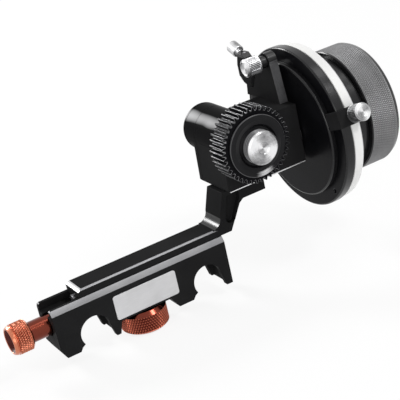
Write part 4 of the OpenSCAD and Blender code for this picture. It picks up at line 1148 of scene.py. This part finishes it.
@dataclass
class Handwheel:
    """Everything that turns with the hand: disc, marking ring, neck, knurled grip and cap.

    The grip is a tube with its wall, a lead before the knurl and a rounded end that holds the cap.
    """

    edge: float = 0.3
    face_lean: float = 0.9
    ring_segments: int = 320
    ring_gap: float = 0.02
    ring_rounding: tuple[float, ...] = (0.1, 0.45, 0.45, 0.1)
    retainer_slope: float = 0.4
    retainer_rounding: float = 0.15
    wall: float = 2.98
    lead: float = 0.7
    lead_chamfer: float = 0.5
    knurl: Relief = Relief(Knurl.DIAMOND, around=188, depth=0.34, rows=64, steps=6)
    end_len: float = 3.4
    end_outline: Outline = ((1.2, 1.0), (0.0, 3.2), (0.0, 6.0), (0.9, 7.5))
    cap_r: float = 9.1
    cap_depth: float = 0.9
    cap_seat: float = 3.18

    @functools.cached_property
    def axis(self) -> Axis:
        """The wheel's turning axis."""
        return axis_of("marking_ring", ALONG_X)

    @functools.cached_property
    def black(self) -> Finish:
        """The wheel's black metal."""
        return turned_black(self.axis, "wheel_black")

    def build(self) -> None:
        """Makes the black pieces, the rings and the grip, and dresses the screws."""
        face = turned_face(self.axis, "wheel_face")

        def flat(centre: np.ndarray, normal: np.ndarray) -> np.ndarray:
            """1 on the flat faces, 0 on the round ones."""
            return np.where(np.abs(normal[:, X]) > self.face_lean, 1, 0)

        for node in ("wheel_hub", "wheel_disc", "wheel_neck", "wheel_cap"):
            settle(eased_copy(node, self.edge, self.black, face, rule=flat, edge=0), "handwheel",
                   "black_anodised", node)
        self.rings()
        self.grip()
        dress(STEEL, "wheel_screws", "wheel_nut")

    def rings(self) -> None:
        """The white marking ring and the thin grey ring behind it."""
        seat = box_of("wheel_neck")[1][Y] + self.ring_gap
        bore = self.axis.radius_of(node_surface("ring_retainer")[0]).min()
        self.ring("marking_ring", seat, 0.0, self.ring_rounding, WHITE_PLASTIC)
        self.ring("ring_retainer", bore, self.retainer_slope, self.retainer_rounding,
                  grey_retainer(self.axis))

    def ring(self, node: str, bore: float, slope: float, rounding: float | Sequence[float],
             finish: Finish) -> None:
        """A ring round the neck.

        Args:
            node: CAD node that it stands for.
            bore: Radius of its bore.
            slope: How much its radius falls from the wheel's side to the grip's.
            rounding: Roundings of its corners.
            finish: Its finish, which also names its slot.
        """
        x0, x1, r = turned_size(node, X, Y)
        section = rounded([(x0, bore), (x0, r), (x1, r - slope), (x1, bore)], rounding, closed=True)
        piece = turned(f"{node}_turned", section, self.axis, self.ring_segments)
        settle(paint(piece, finish), "handwheel", finish.name, node)

    def grip(self) -> None:
        """The grip with its fine diamond knurl, smooth at both ends."""
        x0, x1, r = turned_size("wheel_grip", X, Y)
        start, end = x0 + self.lead, x1 - self.end_len
        front = rounded([(x0, r - self.wall), (x0, r - self.lead_chamfer), (x0 + self.lead_chamfer, r),
                         (start, r)], radius=0.2)
        tail = rounded([(end, r), *inset(self.end_outline, x1, r, -1.0), (x1 - self.cap_depth, self.cap_r),
                        (x1 - self.cap_seat, self.cap_r), (x1 - self.cap_seat, r - self.wall)], radius=0.8)
        piece = knurled("wheel_grip_turned", front, tail, self.axis, self.knurl)

        def smooth_end(centre: np.ndarray, normal: np.ndarray) -> np.ndarray:
            """1 before and behind the knurl, 0 on it."""
            return np.where((centre[:, X] > end) | (centre[:, X] < start), 1, 0)

        paint(piece, KNURLED_GRIP, self.black, rule=smooth_end)
        settle(piece, "handwheel", "knurled_grip", "wheel_grip")


@dataclass
class RimStops:
    """The two stops on the rim and their knurled screws."""

    edge: float = 0.25
    head_len: float = 7.8
    shank_r: float = 1.5
    neck_len: float = 1.1
    neck_share: float = 0.62
    chamfer: float = 0.6
    crown: Outline = ((0.9, 0.0), (0.2, 0.8), (0.0, 1.8), (0.25, 2.6))
    dish: float = 0.25

    def build(self) -> None:
        """Makes both stops."""
        for name in ("a", "b"):
            clamp = eased_copy(f"stop_clamp_{name}", self.edge, BLACK_ANODISED)
            settle(clamp, f"stop_{name}", "black_anodised", f"stop_clamp_{name}")
            self.screw(name)

    def screw(self, name: str) -> None:
        """A straight-knurled screw that points at the wheel's axis.

        Args:
            name: Letter of the stop.
        """
        node = f"stop_screw_{name}"
        wheel = axis_of("marking_ring", ALONG_X)
        low, high = box_of(node)
        middle, r = (low + high) / 2, (high[X] - low[X]) / 2
        reach = middle - np.array(wheel.origin)
        reach[X] = 0.0
        along = reach / np.linalg.norm(reach)
        axis = Axis((middle[X], wheel.origin[Y], wheel.origin[Z]), tuple(along), ALONG_X)
        distance = (node_surface(node)[0] - np.array(axis.origin)) @ along
        d0, d1 = distance.min(), distance.max()
        head = d1 - self.head_len
        neck, neck_r = head - self.neck_len, r * self.neck_share
        shank = rounded([(d0, 0), (d0, self.shank_r), (neck, self.shank_r), (neck, neck_r), (head, neck_r),
                         (head, r - self.chamfer), (head + self.chamfer, r)], radius=0.12)
        end = rounded([*inset(self.crown, d1, r, -1.0), (d1 - self.dish, 0)], radius=0.2)
        piece = knurled(f"{node}_turned", shank, end, axis, SILVER_KNURL)
        settle(paint(piece, silver(axis, f"{node}_silver")), f"stop_{name}_screw", "silver_turned", node)


@dataclass
class StopBracket:
    """The bracket on the gearbox, its pin with a knob, and the small block with its lock screw."""

    edge: float = 0.1
    small_edge: float = 0.2
    front_lean: float = 0.8
    top_w: float = 5.0
    lock_tilt: float = 22.0
    knob_dish: float = 0.3
    knob_face: Outline = ((0.3, 1.4), (0.0, 1.0), (0.7, 0.0))
    knob_chamfer: float = 0.7
    knob_bore: float = 3.02

    def build(self) -> None:
        """Makes the bracket and its knobs, and dresses the pin."""
        pin = axis_of("pin_knob", ALONG_X)

        def strip(centre: np.ndarray, normal: np.ndarray) -> np.ndarray:
            """Finds the rounded top over the pin and the bracket's front.

            Args:
                centre: The faces' centres.
                normal: Their normals.

            Returns:
                2 on the top, 1 on the front, 0 elsewhere.
            """
            across, forward, _ = normal.T
            top = (centre[:, Z] > pin.origin[Z]) & (centre[:, Y] < pin.origin[Y] + self.top_w)
            return np.select([top & (np.abs(across) < LEAN), forward < -self.front_lean], [2, 1], 0)

        bracket = eased_copy("stop_bracket", self.edge, BLACK_ANODISED, LIGHTER_BLACK, BLACK_SHEEN, rule=strip)
        settle(bracket, "arm", "black_anodised", "stop_bracket")
        block = eased_copy("lock_block", self.small_edge, BLACK_SHEEN)
        settle(block, "arm", "black_anodised", "lock_block")
        low, high = box_of("bracket_lock_screw")
        rise = math.radians(self.lock_tilt)
        line = Axis(tuple((low + high) / 2), (0.0, math.cos(rise), math.sin(rise)))
        screw = eased_copy("bracket_lock_screw", self.small_edge, silver(line, "lock_screw_silver"))
        settle(screw, "bracket_lock", "silver_turned", "bracket_lock_screw")
        self.pin_knob(pin)
        dress(BLACK_SHEEN, "stop_pin")
        dress(STEEL, "bracket_studs", "lock_block_screw")
        dress(SEAL_RUBBER, "pin_seal")

    def pin_knob(self, axis: Axis) -> None:
        """A straight-knurled knob with rounded ends and a shallow dish in its face.

        Args:
            axis: The pin's axis.
        """
        x0, x1, r = turned_size("pin_knob", X, Y)
        face = rounded([(x0 + self.knob_dish, 0), *inset(self.knob_face, x0, r)], radius=0.2)
        back = rounded([(x1 - self.knob_chamfer, r), (x1, r - self.knob_chamfer), (x1, self.knob_bore),
                        (x1 - self.knob_bore, self.knob_bore), (x1 - self.knob_bore, 0)], radius=0.15)
        piece = knurled("pin_knob_turned", face, back, axis, SILVER_KNURL)
        settle(paint(piece, silver(axis, "pin_knob_silver")), "stop_pin", "silver_turned", "pin_knob")


# ---------- studio ----------


@dataclass(frozen=True)
class Lamp:
    """A soft round lamp that looks at the object's middle: its place and size in metres, its power in W."""

    name: str
    place: Triple
    size: float
    power: float

    def hang(self, target: Vector) -> None:
        """Adds the lamp.

        Args:
            target: The point it looks at, in metres.
        """
        data = bpy.data.lights.new(self.name, "AREA")
        data.shape = "DISK"
        data.size = self.size
        data.energy = self.power
        lamp = bpy.data.objects.new(self.name, data)
        lamp.location = self.place
        lamp.rotation_euler = (target - Vector(self.place)).to_track_quat("-Z", "Y").to_euler()
        bpy.context.scene.collection.objects.link(lamp)


@dataclass
class Studio:
    """Camera at the photograph's viewing angle, pale floor, white surroundings and soft lamps.

    The camera's place and the gap over the floor are in millimetres, its angles in degrees, and the
    clipping distances and half the floor's width in metres.
    """

    camera_place: Triple = (-161.14, -481.16, 256.25)
    azimuth: float = -25.575
    elevation: float = 22.465
    roll: float = -12.719
    lens: float = 110.91
    sensor: float = 36.0
    clip: tuple[float, float] = (0.01, 50.0)
    floor_half: float = 6.0
    floor_gap: float = 0.05
    floor_tone: float = 0.9
    floor_roughness: float = 0.8
    floor_specular: float = 0.1
    floor_glow: float = 0.85
    sky_light: float = 0.36
    lamps: tuple[Lamp, ...] = (
        Lamp("key", (0.56, -0.72, 1.02), 0.30, 5.5),
        Lamp("top", (0.58, -0.20, 1.25), 0.55, 2.5),
        Lamp("back", (-0.38, 1.14, 0.64), 0.40, 14.0),
        Lamp("fill", (-0.55, -1.25, 0.45), 0.8, 5.5),
    )

    def build(self) -> None:
        """Sets up everything that isn't the object."""
        self.camera()
        self.floor()
        self.sky()
        low, high = cad_bounds
        for lamp in self.lamps:
            lamp.hang((low + high) / 2)
        bpy.context.scene.view_settings.view_transform = "Standard"

    def camera(self) -> None:
        """Places the camera: its back vector from azimuth and elevation, then a roll about it."""
        around, above, roll = (math.radians(x) for x in (self.azimuth, self.elevation, self.roll))
        level = math.cos(above)
        back = Vector((math.sin(around) * level, -math.cos(around) * level, math.sin(above)))
        right = Vector(ALONG_Z).cross(back).normalized()
        up = back.cross(right)
        right, up = (right * math.cos(roll) + up * math.sin(roll),
                     up * math.cos(roll) - right * math.sin(roll))
        data = bpy.data.cameras.new("photo_camera")
        data.lens = self.lens
        data.sensor_width = self.sensor
        data.clip_start, data.clip_end = self.clip
        camera = bpy.data.objects.new("photo_camera", data)
        turn = Matrix((right, up, back)).transposed().to_4x4()
        camera.matrix_world = Matrix.Translation(Vector(self.camera_place) * MM) @ turn
        bpy.context.scene.collection.objects.link(camera)
        bpy.context.scene.camera = camera

    def floor(self) -> None:
        """A wide pale floor just under the lowest knob; the camera sees it lightened, shadow kept."""
        z = cad_bounds[0][Z] / MM - self.floor_gap
        half = self.floor_half / MM
        corners = np.array([(-half, -half, z), (half, -half, z), (half, half, z), (-half, half, z)])
        floor = to_mesh("floor", corners, np.array([(0, 1, 2, 3)]))
        material = bpy.data.materials.new("floor_pale")
        material.use_nodes = True
        shader = Shader(material.node_tree)
        principled = shader.tree.nodes["Principled BSDF"]
        principled.inputs["Base Color"].default_value = (*[self.floor_tone] * 3, 1.0)
        principled.inputs["Roughness"].default_value = self.floor_roughness
        principled.inputs["Specular IOR Level"].default_value = self.floor_specular
        glow = shader.node("ShaderNodeEmission", {}, {"Color": WHITE, "Strength": 1.0})
        share = self.seen(shader) * self.floor_glow
        plain = Sock(shader, principled.outputs["BSDF"])
        mixed = shader.node("ShaderNodeMixShader", {}, {0: share, 1: plain, 2: glow})
        shader.feed(shader.tree.nodes["Material Output"].inputs["Surface"], mixed)
        floor.data.materials.append(material)

    @staticmethod
    def seen(shader: Shader) -> Sock:
        """1 for rays that the camera, a reflection or glass sends out, 0 for those that light things.

        Args:
            shader: The shader that its nodes are added to.

        Returns:
            The share, 0 or 1.
        """
        rays = [shader.node("ShaderNodeLightPath", output=name)
                for name in ("Is Camera Ray", "Is Glossy Ray", "Is Transmission Ray")]
        return (rays[0] + rays[1] + rays[2]).math("MINIMUM", 1.0)

    def sky(self) -> None:
        """White surroundings for what is seen, and a gentler even light on the object."""
        world = bpy.data.worlds.new("studio")
        world.use_nodes = True
        bpy.context.scene.world = world
        shader = Shader(world.node_tree)
        background = world.node_tree.nodes["Background"]
        background.inputs["Color"].default_value = WHITE
        strength = self.seen(shader) * (1.0 - self.sky_light) + self.sky_light
        shader.feed(background.inputs["Strength"], strength)


def main() -> None:
    Studio().build()
    for assembly in (RodClamp(), LockKnobs(), Arm(), Gearbox(), DriveGear(), Handwheel(), RimStops(),
                     StopBracket()):
        assembly.build()
        log.info("%s built", type(assembly).__name__)


if __name__ == "__main__":
    main()
